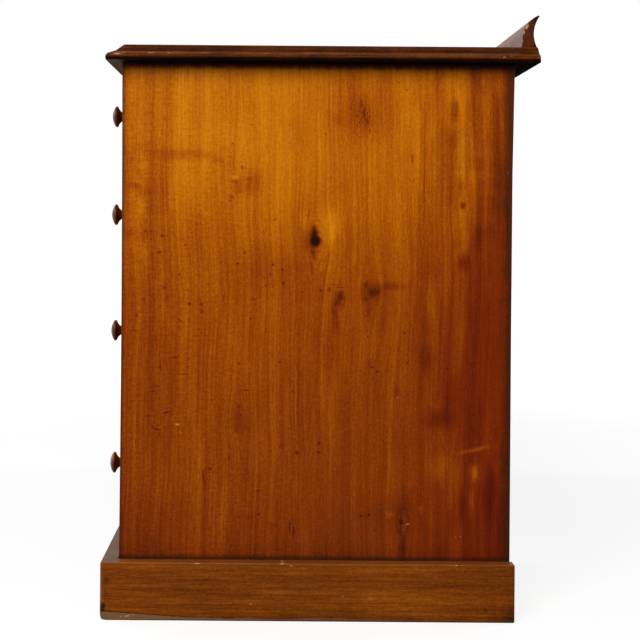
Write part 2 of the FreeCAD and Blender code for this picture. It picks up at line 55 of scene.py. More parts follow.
ARRIS_ROWS = (0.0, 0.3, 0.62, 1.0)  # rows of points over a rounded arris, as shares of it
ARRIS_LEAN = 0.29                   # how far the middle of an arris leans from both its faces
BROAD_WEAR, FINE_WEAR = 23, 90      # rubbed places to the metre
SHARP = math.radians(32)
THROUGH = 9.0                       # metres: a mark that reaches right through the wood


def blank(name, low, high, ease, wear, step):
    """A planed board as a new piece, its arrises rounded and unevenly worn."""
    turn = [ease * share for share in ARRIS_ROWS]
    marks = []
    for start, end in zip(low, high):
        flat = end - start - 2 * ease
        count = max(1, round(flat / step))
        between = [start + ease + flat * n / count for n in range(1, count)]
        marks.append([start + t for t in turn] + between + [end - t for t in reversed(turn)])
    last = [len(row) - 1 for row in marks]
    points, number = [], {}
    for i in range(last[0] + 1):
        for j in range(last[1] + 1):
            edge = i in (0, last[0]) or j in (0, last[1])
            for k in range(last[2] + 1) if edge else (0, last[2]):
                number[i, j, k] = len(points)
                points.append(Vector((marks[0][i], marks[1][j], marks[2][k])))
    faces = []
    for axis in range(3):
        one, two = (axis + 1) % 3, (axis + 2) % 3
        for at in (0, last[axis]):
            for a in range(last[one]):
                for b in range(last[two]):
                    ring = []
                    for da, db in ((0, 0), (1, 0), (1, 1), (0, 1)):
                        place = [0, 0, 0]
                        place[axis], place[one], place[two] = at, a + da, b + db
                        ring.append(number[tuple(place)])
                    faces.append(ring if at else ring[::-1])
    worn = []
    for point in points:
        core = Vector(min(max(v, lo + ease), hi - ease) for v, lo, hi in zip(point, low, high))
        out = (point - core).normalized()
        round_here = min(1.0, (1 - max(abs(v) for v in out)) / ARRIS_LEAN)
        rub = 0.45 + 0.5 * noise.noise(point * BROAD_WEAR) + 0.5 * noise.noise(point * FINE_WEAR)
        point[:] = core + out * (ease - wear * round_here * max(0.0, rub))
        worn.append(round_here * (0.4 + max(0.0, rub)))
    mesh = bpy.data.meshes.new(name)
    mesh.from_pydata(points, [], faces)
    mesh.attributes.new("worn", "FLOAT", "POINT").data.foreach_set("value", worn)
    return put(name, mesh)


def put(name, mesh):
    """A mesh as a new piece of the scene."""
    piece = bpy.data.objects.new(name, mesh)
    bpy.context.scene.collection.objects.link(piece)
    return piece


def carve(piece, other, operation):
    """Keep what two solids share, or cut one from the other, and keep the result."""
    cut = piece.modifiers.new("cut", "BOOLEAN")
    cut.operation = operation
    cut.solver = "EXACT"
    cut.object = other
    bpy.context.view_layer.update()
    carved = piece.evaluated_get(bpy.context.evaluated_depsgraph_get())
    mesh = bpy.data.meshes.new_from_object(carved)
    piece.modifiers.remove(cut)
    piece.data = mesh


def eased(node, ease, wear, step=8 * MM):
    """A board of the model with its arrises eased: what it shares with a planed blank."""
    low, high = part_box(node)
    hair = Vector((HAIR, HAIR, HAIR))
    piece = blank(node + "_board", low + hair, high - hair, ease, wear, step)
    carve(piece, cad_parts[node], "INTERSECT")
    return piece


def fair(piece):
    """Shade flats flat and roundings round."""
    piece.data.shade_smooth()
    piece.data.set_sharp_from_angle(angle=SHARP)
    weigh = piece.modifiers.new("flats", "WEIGHTED_NORMAL")
    weigh.keep_sharp = True


def finish_piece(piece, wood, body, node):
    """Give a piece its finish, fair it, hang it on the body it moves with, and hide the part of the
    model it stands for.
    """
    piece.data.materials.clear()
    piece.data.materials.append(wood.material)
    fair(piece)
    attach(piece, body)
    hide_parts(node)


class Finish:
    """A finish while it is mixed: its material, and short ways to add and join nodes."""

    def __init__(self, name, grain, roughness, specular):
        self.material = bpy.data.materials.new(name)
        self.material.use_nodes = True
        self.tree = self.material.node_tree
        self.shader = self.tree.nodes["Principled BSDF"]
        self.shader.inputs["Roughness"].default_value = roughness
        self.shader.inputs["Specular IOR Level"].default_value = specular
        self.roughness = roughness
        self.grain = grain
        self.at = self.place = self.node("TexCoord")["Object"]

    def feed(self, socket, value):
        """Link an output to a socket, or set a plain value on it."""
        if isinstance(value, bpy.types.NodeSocket):
            self.tree.links.new(value, socket)
        elif value is not None:
            socket.default_value = value

    def node(self, kind, *terms, **settings):
        """The outputs of a new node, its first sockets fed; None leaves a socket as it is."""
        node = self.tree.nodes.new("ShaderNode" + kind)
        for word, setting in settings.items():
            setattr(node, word, setting)
        for socket, term in zip(node.inputs, terms):
            self.feed(socket, term)
        return node.outputs

    def calc(self, operation, *terms):
        return self.node("Math", *terms, operation=operation)[0]

    def plus(self, one, two):
        return self.calc("ADD", one, two)

    def less(self, one, two):
        return self.calc("SUBTRACT", one, two)

    def times(self, one, two):
        return self.calc("MULTIPLY", one, two)

    def over(self, one, two):
        return self.calc("DIVIDE", one, two)

    def times_plus(self, one, two, three):
        """The first times the second, plus the third."""
        return self.calc("MULTIPLY_ADD", one, two, three)

    def vector(self, operation, *terms):
        outputs = self.node("VectorMath", *terms, operation=operation)
        return outputs["Value" if operation in ("LENGTH", "DOT_PRODUCT") else "Vector"]

    def span(self, value, start, end, low=0.0, high=1.0):
        """Ease from low to high while value goes from start to end."""
        terms = (value, start, end, low, high)
        return self.node("MapRange", *terms, interpolation_type="SMOOTHSTEP", clamp=False)[0]

    def axes(self, where):
        """The three parts of a place or a direction."""
        return self.node("SeparateXYZ", where)

    def facing(self):
        """The three parts of the direction that the wood faces here."""
        return self.axes(self.node("NewGeometry")["True Normal"])

    def joined(self, x, y, z):
        """A place from its three parts."""
        return self.node("CombineXYZ", x, y, z)[0]

    def lay(self, across, along, shift=0.0):
        """The place, drawn out along the grain."""
        scale = [across] * 3
        scale[self.grain] = along
        return self.vector("MULTIPLY_ADD", self.at, scale, (shift, shift * 0.7, shift * 1.3))

    def mottle(self, where, detail=2.0, rough=0.5, swirl=0.0):
        """Even noise from about -0.5 to 0.5."""
        terms = (where, None, 1.0, detail, rough, None, None, None, swirl)
        return self.less(self.node("TexNoise", *terms)[0], 0.5)

    def dapple(self, scale, detail=2.0, rough=0.5, swirl=0.0):
        """Noise with a scale of its own along each axis."""
        return self.mottle(self.vector("MULTIPLY", self.at, scale), detail, rough, swirl)

    def total(self, *terms):
        """A sum of (value, weight) pairs."""
        sum_so_far = self.times(*terms[0])
        for value, weight in terms[1:]:
            sum_so_far = self.times_plus(value, weight, sum_so_far)
        return sum_so_far

    def mark(self, centre, reach, lean=0.0, core=0.0):
        """An oval mark, leaning by some degrees: 1 in its middle, 0 beyond its reach."""
        wide, deep, tall = reach
        if lean:
            turn = math.radians(lean)
            ways = (
                (1 / wide, 0.0, 0.0),
                (0.0, math.cos(turn) / deep, math.sin(turn) / deep),
                (0.0, -math.sin(turn) / tall, math.cos(turn) / tall),
            )
            offset = self.vector("SUBTRACT", self.place, centre)
            oval = self.joined(*[self.vector("DOT_PRODUCT", offset, way) for way in ways])
        else:
            scale = (1 / wide, 1 / deep, 1 / tall)
            shift = [-c * s for c, s in zip(centre, scale)]
            oval = self.vector("MULTIPLY_ADD", self.place, scale, shift)
        return self.span(self.vector("LENGTH", oval), core, 1.0, 1.0, 0.0)

    def spot(self, corner, row, thick=THROUGH, core=0.0):
        """A mark in millimetres from a corner: back, up, half width, half height, lean."""
        x, y, z = corner
        back, up, wide, tall, lean = row
        reach = (thick, wide * MM, tall * MM)
        return self.mark((x, y + back * MM, z + up * MM), reach, lean, core)

    def tones(self, value, stops):
        """A run of colours over a value from 0 to 1."""
        node = self.tree.nodes.new("ShaderNodeValToRGB")
        ramp = node.color_ramp
        while len(ramp.elements) < len(stops):
            ramp.elements.new(0.5)
        for element, (place, colour) in zip(ramp.elements, stops):
            element.position = place
            element.color = (*colour, 1.0)
        self.feed(node.inputs[0], value)
        return node.outputs[0]

    def rungs(self, value, stops):
        """A level that follows a value from 0 to 1 through a few stops."""
        return self.tones(value, [(place, (level,) * 3) for place, level in stops])

    def stain(self, base, colour, share):
        """Another colour laid over the first, by share."""
        if isinstance(colour, tuple):
            colour = (*colour, 1.0)
        terms = (share, None, None, None, None, None, base, colour)
        return self.node("Mix", *terms, data_type="RGBA")[2]

    def worn(self):
        """How rubbed the wood is here."""
        return self.node("Attribute", attribute_name="worn")["Fac"]

    def coat(self, colour):
        """Join a colour, or set a plain one."""
        self.feed(self.shader.inputs["Base Color"], colour)

    def surface(self, colour, height, depth, roughness):
        """Join colour, a fine relief and an uneven gloss to the shader."""
        self.coat(colour)
        bump = self.tree.nodes.new("ShaderNodeBump")
        bump.inputs["Distance"].default_value = depth
        self.feed(bump.inputs["Height"], height)
        self.feed(self.shader.inputs["Normal"], bump.outputs[0])
        self.feed(self.shader.inputs["Roughness"], roughness)


WALNUT_TONES = [
    (0.00, (0.012, 0.0020, 0.0006)),
    (0.22, (0.050, 0.0055, 0.0006)),
    (0.42, (0.125, 0.0165, 0.0006)),
    (0.60, (0.245, 0.0370, 0.0006)),
    (0.72, (0.345, 0.0710, 0.0008)),
    (0.86, (0.510, 0.1380, 0.0010)),
    (1.00, (0.660, 0.2150, 0.0030)),
]


def walnut_figure(wood, shift):
    """Stripes, fibres and pores of walnut; returns a tone, centred on 0, and a relief."""
    broad = wood.mottle(wood.lay(13, 0.9, shift), 3.0, 0.55, 0.4)
    stripe = wood.mottle(wood.lay(52, 1.5, shift), 3.0, 0.55, 0.3)
    fine = wood.mottle(wood.lay(210, 4.0, shift), 3.0, 0.65)
    line = wood.mottle(wood.lay(330, 6.0, shift), 1.0)
    fibre = wood.mottle(wood.lay(900, 55.0, shift), 2.0, 0.6)
    cloud = wood.mottle(wood.lay(11, 7.0, shift), 3.0, 0.5)
    speck = wood.mottle(wood.lay(460, 260.0, shift), 2.0, 0.6)
    pore = wood.span(wood.mottle(wood.lay(1100, 90.0, shift), 1.0), 0.12, 0.24)
    tone = wood.total(
        (broad, 0.22), (stripe, 0.24), (fine, 0.25), (line, 0.15), (fibre, 0.18),
        (cloud, 0.20), (speck, 0.26), (pore, -0.08),
    )
    relief = wood.total((fibre, 0.5), (fine, 0.6), (pore, -0.8))
    return tone, relief


def plain_walnut(name, grain, shift, level):
    """Wood of one middling tone, for the boards that show less."""
    wood = Finish(name, grain, 0.36, 0.08)
    tone, relief = walnut_figure(wood, shift)
    tone = wood.times_plus(tone, 1.25, level)
    tone = wood.times_plus(wood.worn(), 0.10, tone)
    gloss = wood.times_plus(wood.mottle(wood.lay(30, 9, shift)), 0.22, wood.roughness)
    wood.surface(wood.tones(tone, WALNUT_TONES), relief, 0.06 * MM, gloss)
    return wood


# Marks in the end boards, in millimetres back from the front edge and up from the floor.
# Knots turn the grain aside, by a radius. Flecks are small dark dots, by a radius. Nicks are
# thin dashes: half length, lean in degrees, and change of tone, below 0 for darker. Shades
# are soft ovals: half width, half height, lean and change of tone. Scars are rubbed to bare
# wood: half width, half height and lean. Grain lines close towards the grain point. The
# speckled place is full of short dark pores: its middle, half width and half height.
RIGHT_END = {
    "shift": 3.1,
    "knots": [
        (260, 503, 8.5), (293, 426, 5.5), (334, 435, 7.5), (162, 602, 5), (377, 128, 6), (159, 262, 6),
        (456, 550, 4.5),
    ],
    "flecks": [
        (33, 513, 1.8), (55, 507, 2.6), (86, 495, 2), (51, 485, 2.6), (165, 486, 2.4), (156, 471, 2.1),
        (206, 530, 1.6), (148, 631, 1.7), (173, 656, 1.4), (92, 417, 2.7), (108, 416, 2.5),
        (78, 456, 2), (58, 438, 2.8), (31, 423, 1.8), (22, 401, 2.4), (217, 445, 2.3), (216, 463, 2.2),
        (203, 470, 1.8), (199, 457, 1.8), (194, 442, 1.9), (182, 454, 1.7), (159, 337, 2.1),
        (121, 197, 2.7), (237, 219, 3.1), (266, 232, 3.2), (266, 220, 2.9), (323, 135, 1.8),
        (333, 137, 1.8), (379, 380, 1.8), (384, 341, 1.7), (343, 328, 1.8), (436, 333, 1.9),
        (330, 375, 1.6), (380, 704, 1.8), (278, 437, 2.6), (267, 436, 2.2), (272, 644, 1.9),
        (231, 300, 1.9), (213, 340, 2), (174, 398, 1.6),
    ],
    "nicks": [
        (138, 425, 8, 90, -0.24), (242, 434, 4, 0, -0.22), (178, 423, 3.2, 0, -0.24),
        (72, 345, 5.4, 5, -0.36), (54, 332, 8, 90, -0.24), (84, 323, 9.4, 4, -0.20),
        (49, 307, 5.4, 5, -0.24), (44, 300, 6.6, 0, -0.16), (63, 272, 8.6, 18, -0.36),
        (38, 267, 4, 10, -0.20), (50, 249, 6.6, -8, -0.32), (53, 243, 4.6, 90, -0.24),
        (169, 302, 5.8, 3, -0.30), (124, 289, 4, 20, -0.22), (18, 381, 6.6, -12, -0.16),
        (79, 395, 6.6, -35, -0.18), (194, 382, 6.6, 90, -0.16), (102, 203, 9, 90, -0.14),
        (146, 211, 4.2, 90, -0.26), (184, 168, 7.5, 5, -0.20), (187, 137, 4, 15, -0.28),
        (228, 120, 10.6, 90, -0.40), (233, 115, 10.6, 90, -0.40), (341, 117, 3, -30, -0.28),
        (336, 334, 3.2, -15, -0.28), (368, 714, 3, 10, -0.26), (288, 444, 12, 0, -0.15),
        (292, 440, 9.4, 0, -0.13),
    ],
    "shades": [
        (260, 501, 10.5, 10.5, 0, -0.70), (258.5, 509, 9, 16, 4, -0.36), (258, 516, 5, 11, 6, -0.25),
        (252, 500, 16, 24, 0, -0.12), (259, 503, 13, 18, 0, -0.10), (257, 484, 7, 13, 0, -0.20),
        (255, 468, 4, 13, 0, -0.07), (244, 527, 9.4, 18.6, 8, 0.08), (280, 506, 9, 28, -10, 0.10),
        (294, 431, 6, 8, 0, -0.22), (294, 426, 7.6, 6.4, 20, -0.16), (288, 419, 7.6, 6, 35, -0.17),
        (285, 409, 6, 12, 15, -0.16), (291, 424, 14, 18, 10, -0.15), (287, 394, 8.6, 24, 8, -0.11),
        (328, 443, 6, 9, 0, -0.20), (334, 433, 10, 9, 0, -0.17), (343, 435, 9, 9, 0, -0.12),
        (326, 425, 8, 8, 20, -0.14), (335, 434, 22, 21, 0, -0.18), (362, 442, 32, 8, 0, -0.13),
        (330, 410, 9.4, 18.6, 0, -0.09), (308, 474, 8, 21, 0, 0.06), (268, 466, 4, 9, 0, 0.09),
        (161, 599, 1.9, 4.6, 0, -0.30), (151, 580, 12, 4.6, 0, -0.13), (151, 586, 9, 4.4, 0, 0.15),
        (130, 609, 12, 6, 0, -0.11), (147, 560, 5.4, 4, 0, -0.15), (145, 555, 3.2, 2.4, 0, -0.18),
        (155, 569, 12, 13, 0, -0.07), (171, 585, 6.6, 4, 40, -0.06), (82, 616, 62, 13, 0, -0.13),
        (93, 662, 4, 66, 0, -0.07), (32, 600, 11, 21, 0, 0.08), (19, 574, 12, 6.6, -10, -0.14),
        (12, 608, 8, 8, 0, -0.06), (28, 544, 12, 18.6, 0, 0.11), (12, 509, 11, 6.6, 0, -0.10),
        (33, 481, 9.4, 34, 0, 0.09), (109, 407, 4, 4.4, 0, -0.18), (62, 425, 5.4, 5.4, 0, -0.09),
        (159, 268, 8, 23, 0, -0.10), (162, 254, 15, 17, 0, -0.08), (112, 188, 3.2, 13, 5, -0.24),
        (114, 174, 5.4, 12, 0, -0.09), (176, 133, 11, 5.4, 15, -0.09), (207, 122, 11, 5.4, 0, -0.10),
        (215, 228, 4.6, 4.6, 0, -0.14), (237, 172, 4, 16, 0, 0.07), (376, 128, 4.8, 5.8, 0, -0.30),
        (378, 92, 8, 27, 0, -0.18), (361, 138, 12, 8, 0, 0.10), (403, 145, 6.6, 11, 0, 0.13),
        (329, 135, 9.4, 4, 10, -0.06), (410, 345, 18, 29, 0, -0.13), (424, 265, 34, 21, 0, -0.18),
        (369, 301, 6.6, 16, 0, -0.11), (474, 225, 36, 5.5, 14, 0.26), (473, 193, 12, 21, 0, 0.32),
        (429, 200, 30, 34, 0, 0.18), (441, 162, 5.4, 37, 0, 0.14), (470, 158, 6.6, 35, 0, 0.21),
        (457, 151, 6.6, 38, 0, -0.21), (494, 165, 14, 60, 0, -0.22), (480, 271, 11, 53, 0, -0.14),
        (324, 669, 14, 30, 0, -0.08), (288, 664, 8, 11, 20, -0.07), (319, 685, 2.6, 8, 0, -0.16),
        (323, 673, 3.2, 12, 0, -0.18), (328, 661, 4.6, 10, 0, -0.15), (331, 649, 2.8, 6, 0, -0.15),
        (388, 612, 3, 12, 0, -0.22), (445, 676, 10, 25, 0, -0.19), (456, 550, 4.8, 6.6, 0, -0.29),
        (453, 576, 6.6, 21, 0, -0.11), (457, 475, 13, 19, 0, -0.24), (478, 511, 16, 29, 0, -0.13),
        (412, 424, 13, 45, 0, 0.11), (395, 624, 5.4, 120, 0, 0.13), (404, 597, 2, 160, 0, -0.16),
        (322, 680, 62, 76, 0, -0.17), (438, 598, 20, 150, 0, -0.18), (172, 580, 25, 28, 0, -0.11),
        (276, 528, 28, 38, -8, 0.17), (279, 490, 24, 60, -4, 0.10), (280, 357, 20, 82, 0, -0.10),
        (443, 291, 22, 68, 0, -0.16), (41, 182, 54, 82, 0, 0.05), (336, 364, 22, 34, 0, 0.06),
        (180, 336, 62, 62, 0, 0.04), (151, 642, 54, 42, 0, 0.06), (505, 585, 15, 72, 0, -0.14),
        (190, 462, 84, 52, 0, -0.07), (96, 500, 38, 66, 0, -0.05), (368, 138, 62, 52, 0, -0.08),
        (501, 651, 6.6, 66, 0, -0.11), (237, 689, 4, 60, 0, 0.06),
    ],
    "scars": [
        (163.5, 603.5, 2.4, 2, 0), (76.5, 256, 5, 1.2, 0), (385, 125, 4.6, 1.2, 20),
        (449.5, 109, 1.3, 1.2, 0), (455.5, 109.5, 1.3, 1.2, 0), (371, 293.5, 1.8, 1.3, 0),
        (515, 594, 1.6, 5, 0),
    ],
    "grain_point": (237, 150),
    "speckled": (322, 672, 26, 44),
}
LEFT_END = {
    "shift": 7.4,
    "knots": [
        (352, 566, 7), (214, 342, 8), (118, 470, 5), (428, 214, 6), (166, 146, 5),
    ],
    "flecks": [
        (61, 622, 1.8), (95, 588, 2.2), (402, 531, 2.4), (441, 489, 1.9), (388, 402, 2.2),
        (171, 512, 1.8), (203, 421, 2.4), (93, 377, 2), (140, 318, 1.8), (268, 263, 2.6),
        (317, 238, 1.8), (358, 187, 2.1), (126, 205, 2), (80, 163, 1.7), (251, 121, 2.2),
    ],
    "nicks": [
        (112, 402, 6, 8, -0.3), (133, 391, 8, -6, -0.2), (421, 301, 7, 12, -0.3),
        (399, 287, 5, 90, -0.2), (187, 233, 8, 90, -0.3), (239, 190, 6, -14, -0.25),
        (305, 642, 7, 90, -0.2), (331, 155, 9, 2, -0.3),
    ],
    "shades": [
        (352, 564, 6, 7, 0, -0.60), (351, 572, 8, 14, -6, -0.24), (352, 566, 14, 20, 0, -0.09),
        (214, 342, 7, 6, 10, -0.42), (214, 342, 17, 15, 0, -0.12), (118, 468, 3, 5, 0, -0.24),
        (428, 214, 5, 6, 0, -0.28), (428, 186, 8, 30, 0, -0.10), (60, 560, 40, 12, 4, -0.08),
        (96, 250, 28, 24, 0, 0.09), (300, 470, 12, 60, 0, 0.08), (166, 140, 4, 8, 0, -0.20),
        (455, 390, 20, 40, 0, -0.09), (245, 640, 30, 18, 0, 0.06),
    ],
    "scars": [(391, 447, 3, 1.2, 15), (150, 246, 5, 1, -8)],
    "grain_point": (300, 210),
    "speckled": (118, 610, 30, 36),
}


FLECK_TONE = -0.30
FLECK_SPREAD = 1.3      # a fleck's and a nick's soft rim, as a share of the size
NICK_HALF = 1.5         # half a nick's thickness, in millimetres
RAGGED = 3.0 * MM       # how far the rims of marks are shaken


def end_walnut(side, features):
    """The wide end board: golden above, red-brown below and behind, partly as painted shade, with
    knots and marks, and a painted shadow under the top.
    """
    wood = Finish("end_walnut_" + side, 2, 0.30, 0.05)
    low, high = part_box("end_panel_" + side)
    tall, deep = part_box("top_board")[1].z, high.y - low.y
    corner = (0, low.y, 0)
    place, shift = wood.at, features["shift"]
    across, up = wood.axes(place)[1:]
    back = wood.less(across, low.y)
    sway = wood.dapple((0.0, 2.5, 3.2))
    drift = wood.times_plus(sway, 0.030, back)
    for where, height, radius in features["knots"]:
        spread = (radius * MM) ** 2
        dy = wood.less(back, where * MM)
        dz = wood.times(wood.less(up, height * MM), 0.42)
        reach = wood.plus(wood.times_plus(dy, dy, wood.times(dz, dz)), 0.5 * spread)
        drift = wood.plus(drift, wood.over(wood.times(dy, -2.2 * spread), reach))
    wood.at = wood.joined(0.0, drift, up)
    tone, relief = walnut_figure(wood, shift)
    curl = wood.mottle(wood.lay(9, 48.0, 5.2), 2.0, 0.5, 0.6)
    streak = wood.mottle(wood.lay(36, 0.6, shift + 9), 2.0, 0.6)
    wood.at = place

    # Darker low down: partly the wood's own colour, partly painted shade where the light falls off
    # towards the floor.
    level = wood.rungs(wood.over(up, tall), [
        (0.08, 0.42), (0.135, 0.565), (0.22, 0.615), (0.40, 0.655),
        (0.56, 0.70), (0.68, 0.785), (0.80, 0.870), (0.95, 0.885),
    ])
    # Darker towards the back edge, painted shade where less light falls, and a little darker at the
    # front edge.
    fade = wood.rungs(wood.over(back, deep), [
        (0.0, 0.93), (0.10, 0.96), (0.20, 1.0), (0.52, 0.98),
        (0.74, 0.93), (0.86, 0.86), (0.93, 0.81), (0.98, 0.68),
    ])
    tone = wood.times_plus(level, fade, tone)
    tone = wood.times_plus(streak, wood.span(back, 0.22, 0.46, 0.05, 0.46), tone)
    plait = wood.mottle(wood.lay(30, 7.0, shift + 17), 3.0, 0.6, 1.2)
    tone = wood.times_plus(plait, wood.span(back, 0.30, 0.46, 0.06, 0.36), tone)
    ripple = wood.dapple((0.0, 90.0, 330.0), 2.0, 0.6)
    tone = wood.times_plus(ripple, wood.span(back, 0.1, 0.3, 0.20, 0.10), tone)
    for middle, half, strength in (
        ((0, 0.215, 0.585), (THROUGH, 0.11, 0.11), 0.20),
        ((0, -0.235, 0.55), (THROUGH, 0.05, 0.20), 0.24),
    ):
        curled = wood.times(wood.mark(middle, half), strength)
        tone = wood.times_plus(curl, curled, tone)

    where, height = (v * MM for v in features["grain_point"])
    rise = wood.calc("MAXIMUM", wood.less(up, height), 0.006)
    slant = wood.over(wood.less(back, where), rise)
    rays = wood.mottle(wood.joined(wood.times(slant, 46.0), up, 0.0), 2.0, 0.6)
    closing = wood.mark((0, low.y + where, height + 0.10), (THROUGH, 0.045, 0.12), 0, 0.2)
    tone = wood.times_plus(rays, wood.times(closing, 0.22), tone)

    pores = wood.span(wood.dapple((0.0, 640.0, 210.0), 2.0, 0.7), 0.02, 0.20, 0.0, -0.42)
    speckled = wood.spot(corner, (*features["speckled"], 0), core=0.1)
    tone = wood.times_plus(pores, speckled, tone)

    ragged = wood.node("TexNoise", place, None, 260.0)["Color"]
    shaken = wood.vector("SUBTRACT", ragged, (0.5, 0.5, 0.5))
    wood.place = wood.vector("MULTIPLY_ADD", shaken, (0.0, RAGGED, RAGGED), place)
    rows = []
    for y, z, radius in features["flecks"]:
        rows.append((y, z, radius * FLECK_SPREAD, radius * FLECK_SPREAD, 0, FLECK_TONE))
    for y, z, half, lean, change in features["nicks"]:
        rows.append((y, z, half * FLECK_SPREAD, NICK_HALF, lean, change))
    marks = 0.0
    for *row, change in rows + features["shades"]:
        marks = wood.times_plus(wood.spot(corner, row), change, marks)
    tone = wood.plus(tone, marks)
    blotch = wood.dapple((0.0, 70.0, 30.0), 3.0, 0.6)
    # Painted shadow under the overhang of the top: the board is painted darker over its top ten
    # millimetres, with a ragged lower edge.
    head = wood.times_plus(blotch, 0.006, up)
    tone = wood.plus(tone, wood.span(head, high.z - 10 * MM, high.z - 2 * MM, 0.0, -0.58))
    tone = wood.times_plus(wood.worn(), 0.05, tone)
    colour = wood.tones(tone, WALNUT_TONES)
    for row in features["scars"]:
        bare = wood.times(wood.spot(corner, row), 0.8)
        colour = wood.stain(colour, (0.62, 0.26, 0.12), bare)

    # The polish has a redder cast low down towards the back.
    flush = wood.times(wood.span(back, 0.34, 0.47, 0.0, 0.40), wood.span(up, 0.56, 0.45))
    flush = wood.times(flush, wood.plus(streak, 0.85))
    colour = wood.stain(colour, (0.160, 0.0040, 0.0004), flush)

    # Old polish and dirt: a dark line along the front arris and a brown stretch along the back
    # edge. A darker band runs just above the plinth, and a painted shadow lies under the top.
    fine_blotch = wood.dapple((0.0, 420.0, 420.0), 2.0, 0.6)
    arris = wood.span(wood.times_plus(blotch, 0.003, back), 0.0012, 0.0075, 0.72, 0.0)
    colour = wood.stain(colour, (0.050, 0.0070, 0.0016), arris)
    shore = wood.times_plus(blotch, 0.016, back)
    shore = wood.span(shore, deep - 15 * MM, deep - 4 * MM, 0.0, 0.80)
    colour = wood.stain(colour, (0.040, 0.0110, 0.0020), shore)
    # A darker, rougher band just above the plinth.
    foot_band = wood.times_plus(blotch, 0.004, up)
    foot_band = wood.times_plus(fine_blotch, 0.007, foot_band)
    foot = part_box("plinth_outer_" + side)[1].z
    foot_band = wood.span(foot_band, foot + 1.5 * MM, foot + 8 * MM, 0.75, 0.0)
    colour = wood.stain(colour, (0.020, 0.0085, 0.0020), foot_band)
    # Painted shadow: the top few millimetres of the board, close under the top's nose, are painted
    # near black.
    shadow_under_top = wood.span(head, high.z - 6.5 * MM, high.z - 1.5 * MM, 0.0, 0.90)
    colour = wood.stain(colour, (0.012, 0.0016, 0.0005), shadow_under_top)
    gloss = wood.times_plus(wood.mottle(wood.lay(25, 6)), 0.16, wood.roughness)
    gloss = wood.times_plus(foot_band, 0.3, gloss)
    wood.surface(colour, relief, 0.05 * MM, gloss)
    return wood


END_WALNUT = {"right": end_walnut("right", RIGHT_END), "left": end_walnut("left", LEFT_END)}
INNER_WALNUT = plain_walnut("inner_walnut", 2, 11.0, 0.60)


def shrink(piece, node):
    """Draw the front edge a little hollow and the back edge a little out, as boards go."""
    low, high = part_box(node)
    deep, tall = high.y - low.y, high.z - low.z
    for vertex in piece.data.vertices:
        up = (vertex.co.z - low.z) / tall
        back = (vertex.co.y - low.y) / deep
        front_draw = 1.2 * MM * math.sin(math.pi * up)
        back_draw = 1.9 * MM * max(0.0, up - 0.8) * 5 - 0.55 * MM * min(1.0, (1 - up) * 2.2)
        vertex.co.y += front_draw * (1 - back) + back_draw * back


for side in ("right", "left"):
    node = "end_panel_" + side
    panel = eased(node, 0.9 * MM, 0.35 * MM)
    shrink(panel, node)
    finish_piece(panel, END_WALNUT[side], "carcase", node)
    node = "inner_panel_" + side
    panel = eased(node, 0.8 * MM, 0.3 * MM, 16 * MM)
    finish_piece(panel, INNER_WALNUT, "carcase", node)


# Rails, runners, floor boards and stops: walnut rails in front, housed in the panels, and
# plain pine behind them for the drawers to slide on. The rails stand a shade behind the
# panels' edges, so that their housings don't show.
def members(node):
    """Lowest and highest corner of each loose member of a node."""
    solid = bmesh.new()
    solid.from_mesh(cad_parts[node].data)
    bmesh.ops.remove_doubles(solid, verts=solid.verts, dist=0.01 * MM)
    waiting = set(solid.verts)
    boxes = []
    while waiting:
        reached = [waiting.pop()]
        for vertex in reached:
            for edge in vertex.link_edges:
                other = edge.other_vert(vertex)
                if other in waiting:
                    waiting.remove(other)
                    reached.append(other)
        axes = list(zip(*(vertex.co for vertex in reached)))
        boxes.append((Vector(map(min, axes)), Vector(map(max, axes))))
    solid.free()
    return sorted(boxes, key=lambda pair: tuple(pair[0]))


def gather(name, parts):
    """Several loose members as one piece."""
    whole = bmesh.new()
    for part in parts:
        whole.from_mesh(part.data)
        bpy.data.objects.remove(part)
    mesh = bpy.data.meshes.new(name)
    whole.to_mesh(mesh)
    whole.free()
    return put(name, mesh)


def planed_wood(name, tones, level, shift):
    """Plain planed wood; its grain runs along the desk on faces to front or back, else in and out."""
    wood = Finish(name, 1, 0.62, 0.25)
    turned = wood.span(wood.calc("ABSOLUTE", wood.facing()[1]), 0.6, 0.7)
    tone_one, relief_one = walnut_figure(wood, shift)
    wood.grain = 0
    tone_two, relief_two = walnut_figure(wood, shift + 4)
    parts = []
    for one, two in ((tone_one, tone_two), (relief_one, relief_two)):
        parts.append(wood.times_plus(wood.less(two, one), turned, one))
    tone, relief = wood.plus(parts[0], level), parts[1]
    gloss = wood.times_plus(wood.mottle(wood.lay(40, 12, shift)), 0.2, wood.roughness)
    wood.surface(wood.tones(tone, tones), relief, 0.1 * MM, gloss)
    return wood


PINE_TONES = [
    (0.0, (0.070, 0.032, 0.012)), (0.3, (0.190, 0.100, 0.042)), (0.5, (0.330, 0.195, 0.088)),
    (0.7, (0.440, 0.285, 0.140)), (1.0, (0.560, 0.400, 0.230)),
]
RAIL_WALNUT = plain_walnut("rail_walnut", 0, 21.0, 0.56)
PINE = planed_wood("secondary_pine", PINE_TONES, 0.46, 31.0)


def dress(node, wood):
    """Give a node of the model its finish; its shape stays."""
    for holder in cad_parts[node].material_slots:
        holder.material = wood.material


SET_BACK = 0.4 * MM
for node in ("drawer_rails_right", "drawer_rails_left", "centre_rails"):
    rails = []
    for low, high in members(node):
        low.y += SET_BACK
        rails.append(blank("rail", low, high, 0.5 * MM, 0.2 * MM, 20 * MM))
    rails = gather(node + "_walnut", rails)
    finish_piece(rails, RAIL_WALNUT, "carcase", node)

